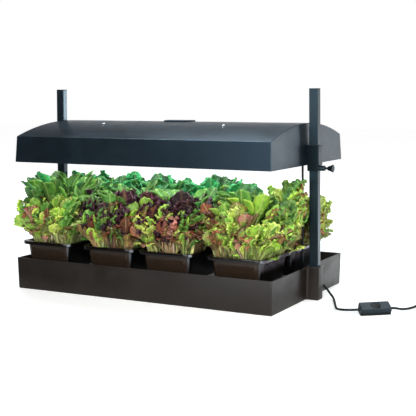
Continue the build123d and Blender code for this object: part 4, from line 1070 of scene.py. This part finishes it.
class GARDEN_OT_cords(bpy.types.Operator):
    """Mains cord with its coil, and the lamp lead up to the hood"""

    bl_idname = "garden.cords"
    bl_label = "Cords"

    def lay(self, name, points, radius, sheath, *replaced):
        """A cord that lies with the base and stands for CAD nodes."""
        cord = cord_curve(name, points, radius)
        cord.data.materials.append(sheath)
        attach(cord, "base")
        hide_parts(*replaced)
        return cord

    def execute(self, context):
        sheath = coated("cord_sheath", "cord_sheath", "cord_sheath*0.7", (0.36, 0.5), (1800, 0.00004),
                        specular=0.25)
        radius = sizes().cord_diameter / 2
        lead_in, switch_in, switch_out, lead_off = switch_ends()
        near = [WALL_POINT, *OUTER_ROUTE, lead_in, switch_in]
        coil = coil_points()
        tail = coil[0] - Vector((0, 2 * CORD_BORE, 0))
        far = [switch_out, lead_off, *COIL_ROUTE, tail - Vector((0, COIL_RUN_IN, 0)), tail, *coil]
        flex = self.lay("mains_flex", near, radius, sheath, "cord_to_switch")
        rest = self.lay("coiled_flex", far, radius, sheath, "cord_to_coil", "cord_coil")
        curve_length(near)
        curve_length(far)
        driver_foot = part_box("lamp_driver")[0].z / MM
        drop = [(*LEAD_AT, driver_foot - below) for below in LEAD_HANGS]
        ghost = cord_curve("lamp_lead_path", [*drop, *LEAD_ROUTE, WALL_POINT], radius)
        mesh = bpy.data.meshes.new_from_object(ghost)
        bpy.data.objects.remove(ghost)
        lead = placed("lamp_flex", mesh)
        mesh.materials.clear()
        mesh.materials.append(sheath)
        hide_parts("lamp_lead", "lead_drop")
        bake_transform(lead)
        finish(CORD_FINISHES)
        return {"FINISHED"}


class GARDEN_OT_switch(bpy.types.Operator):
    """In-line switch, rocker and plug finishes"""

    bl_idname = "garden.switch"
    bl_label = "Switch and plug"

    def execute(self, context):
        finish(SWITCH_FINISHES)
        return {"FINISHED"}


# Stage

CAMERA_PLACE = (1.16216, -2.02176, 0.46567)
CAMERA_YAW = 0.4929
CAMERA_PITCH = -0.0388
CAMERA_ROLL = -0.0051
CAMERA_FOCAL_PX = 984.01
CAMERA_SHIFT_PX = -80.0
CAMERA_REACH = 50
PICTURE_PX = 416.0
SENSOR = 36.0
AMBIENT = 0.13
WALL_GLOW = 1.10        # what gloss sees low down behind the garden
REAR_GLOW = 1.1         # what it sees of the floor behind
ROOM_GLOW = 0.03        # what it sees elsewhere
FLOOR_SIZE = 9
FLOOR_DROP = 0.0002     # the floor below the garden's underside
CARD_AIM = (0.3, -0.2, 0.36)
COOL_WHITE = (0.90, 0.96, 1.0)
# Lamps: name, place, aim, size, power, colour, the kind of ray that doesn't see it
STUDIO_LAMPS = (
    ("side_key", (2.2, -1.5, 1.0), (0.1, 0, 0.2), (0.9, 0.9), 54, (1.0, 0.96, 0.90), None),
    ("front_fill", (0.50, -2.6, 0.75), (0, 0, 0.16), (1.9, 1.0), 30, (1.0, 1.0, 1.0), None),
    ("top_sheet", (0.0, 0.9, 2.2), (0, 0.1, 0.3), (2.2, 1.2), 42, (0.80, 0.92, 1.0), None),
    ("rear_fill", (-2.3, 1.5, 1.1), (-0.1, 0, 0.2), (1.6, 1.2), 34, (0.94, 0.97, 1.0), "glossy"),
    ("far_card", (4.43, 6.42, 0.38), (-0.34, 0, 0.42), (0.9, 0.72), 18, COOL_WHITE, None),
    ("front_card", (-0.60, -2.6, 0.62), CARD_AIM, (0.5, 0.7), 4.2, COOL_WHITE, "diffuse"),
    ("eave_strip", (-0.80, -0.6, 2.3), CARD_AIM, (0.9, 0.5), 60, COOL_WHITE, "diffuse"),
    ("spark", (0.72, -2.3, 1.1), (0, -0.1, 0.12), (0.12, 0.12), 26, (0.93, 0.97, 1.0), None),
)


def area_light(name, place, aim, size, power, colour, unseen):
    """A soft rectangular lamp that faces a point."""
    data = bpy.data.lights.new(name, "AREA")
    data.shape = "RECTANGLE"
    data.size, data.size_y = size
    data.energy = power
    data.color = colour
    lamp = placed(name, data)
    lamp.location = place
    lamp.rotation_euler = (Vector(aim) - Vector(place)).to_track_quat("-Z", "Y").to_euler()
    lamp.visible_glossy = unseen != "glossy"
    lamp.visible_diffuse = unseen != "diffuse"


def rays(tree):
    """Which rays look straight at a surface or through glass, and which are reflections."""
    path = tree.nodes.new("ShaderNodeLightPath").outputs
    return maths(tree, "MAXIMUM", path["Is Camera Ray"], path["Is Transmission Ray"]), path["Is Glossy Ray"]


class GARDEN_OT_stage(bpy.types.Operator):
    """Camera, floor, soft studio light and plain white surroundings"""

    bl_idname = "garden.stage"
    bl_label = "Stage"

    def place_camera(self, scene):
        """The camera that took the photo."""
        forward = Vector((-math.sin(CAMERA_YAW) * math.cos(CAMERA_PITCH),
                          math.cos(CAMERA_YAW) * math.cos(CAMERA_PITCH), math.sin(CAMERA_PITCH)))
        level = Vector((math.cos(CAMERA_YAW), math.sin(CAMERA_YAW), 0))
        upright = level.cross(forward)
        right = level * math.cos(CAMERA_ROLL) + upright * math.sin(CAMERA_ROLL)
        top = upright * math.cos(CAMERA_ROLL) - level * math.sin(CAMERA_ROLL)
        data = bpy.data.cameras.new("photo_camera")
        data.sensor_width = SENSOR
        data.lens = CAMERA_FOCAL_PX / PICTURE_PX * SENSOR
        data.shift_y = CAMERA_SHIFT_PX / PICTURE_PX
        data.clip_end = CAMERA_REACH
        camera = placed("photo_camera", data)
        camera.matrix_world = Matrix((
            (right.x, top.x, -forward.x, CAMERA_PLACE[0]),
            (right.y, top.y, -forward.y, CAMERA_PLACE[1]),
            (right.z, top.z, -forward.z, CAMERA_PLACE[2]),
            (0, 0, 0, 1),
        ))
        scene.camera = camera

    def lay_floor(self):
        """A white floor that glows in the picture and dims in some reflections."""
        shape = bmesh.new()
        bmesh.ops.create_grid(shape, x_segments=1, y_segments=1, size=FLOOR_SIZE)
        mesh = finished_mesh("studio_floor", shape)
        floor = placed("studio_floor", mesh)
        floor.location.z = -FLOOR_DROP
        paper, tree, shader, place = new_material("white_paper")
        seen, glossy = rays(tree)
        reach = tree.nodes.new("ShaderNodeVectorMath")
        reach.operation = "LENGTH"
        tree.links.new(place, reach.inputs[0])
        x, y, _ = axes(tree, place)
        away = ramp(tree, reach.outputs["Value"], 0.7, 2.2)
        glow = times(tree, seen, plus(tree, times(tree, away, 0.5), 0.36))
        rear = times(tree, ramp(tree, y, -0.1, 0.9), glossy)
        glow = plus(tree, glow, times(tree, rear, REAR_GLOW))
        left = inverse(tree, ramp(tree, x, -0.45, 0.45))
        ahead = inverse(tree, ramp(tree, y, -0.35, -0.15))
        dim = times(tree, times(tree, left, ahead), glossy)
        feed(tree, shader, {"Base Color": mix(tree, dim, (0.9, 0.9, 0.9), (0.02, 0.02, 0.02)),
                            "Roughness": 0.8, "Specular IOR Level": 0.1,
                            "Emission Color": (1, 1, 1), "Emission Strength": glow})
        mesh.materials.append(paper)

    def light_room(self, scene):
        """White surroundings that gloss sees only low down behind the garden."""
        world = bpy.data.worlds.new("white_room")
        scene.world = world
        world.use_nodes = True
        air = world.node_tree
        seen, glossy = rays(air)
        x, y, z = axes(air, coordinate(air, "Generated"))
        behind = plus(air, times(air, x, -0.6), y)
        beside = ramp(air, times(air, x, -1.0), 0.65, 0.95)
        behind = maths(air, "MAXIMUM", ramp(air, behind, -0.25, 0.95), times(air, beside, 0.5))
        low = inverse(air, ramp(air, z, 0.03, 0.46))
        wall = plus(air, times(air, times(air, behind, low), WALL_GLOW), ROOM_GLOW)
        rest = times(air, inverse(air, glossy), AMBIENT)
        lit = plus(air, times(air, glossy, wall), rest)
        feed(air, air.nodes["Background"], {"Color": (1, 1, 1), "Strength": maths(air, "MAXIMUM", seen, lit)})

    def execute(self, context):
        scene = context.scene
        scene.view_settings.view_transform = "Standard"
        self.place_camera(scene)
        self.lay_floor()
        self.light_room(scene)
        for lamp in STUDIO_LAMPS:
            area_light(*lamp)
        return {"FINISHED"}


class GARDEN_PT_panel(bpy.types.Panel):
    """Steps that dress the garden"""

    bl_idname = "GARDEN_PT_panel"
    bl_label = "Grow light garden"
    bl_space_type = "VIEW_3D"
    bl_region_type = "UI"
    bl_category = "Garden"

    def draw(self, context):
        for step in STEPS:
            self.layout.operator(step.bl_idname)


STEPS = (
    GARDEN_OT_stage,
    GARDEN_OT_cords,
    GARDEN_OT_structure,
    GARDEN_OT_lamps,
    GARDEN_OT_trays,
    GARDEN_OT_compost,
    GARDEN_OT_greens,
    GARDEN_OT_switch,
)
CLASSES = (GardenColours, GardenSizes, *STEPS, GARDEN_PT_panel)


def register():
    """Register the classes and their settings."""
    for cls in CLASSES:
        bpy.utils.register_class(cls)
    bpy.types.Scene.garden_colours = PointerProperty(type=GardenColours)
    bpy.types.Scene.garden_sizes = PointerProperty(type=GardenSizes)


def unregister():
    """Remove the settings and the classes."""
    del bpy.types.Scene.garden_sizes
    del bpy.types.Scene.garden_colours
    for cls in reversed(CLASSES):
        bpy.utils.unregister_class(cls)


def main():
    """Run every step."""
    register()
    for step in STEPS:
        group, name = step.bl_idname.split(".")
        getattr(getattr(bpy.ops, group), name)()


if __name__ == "__main__":
    main()
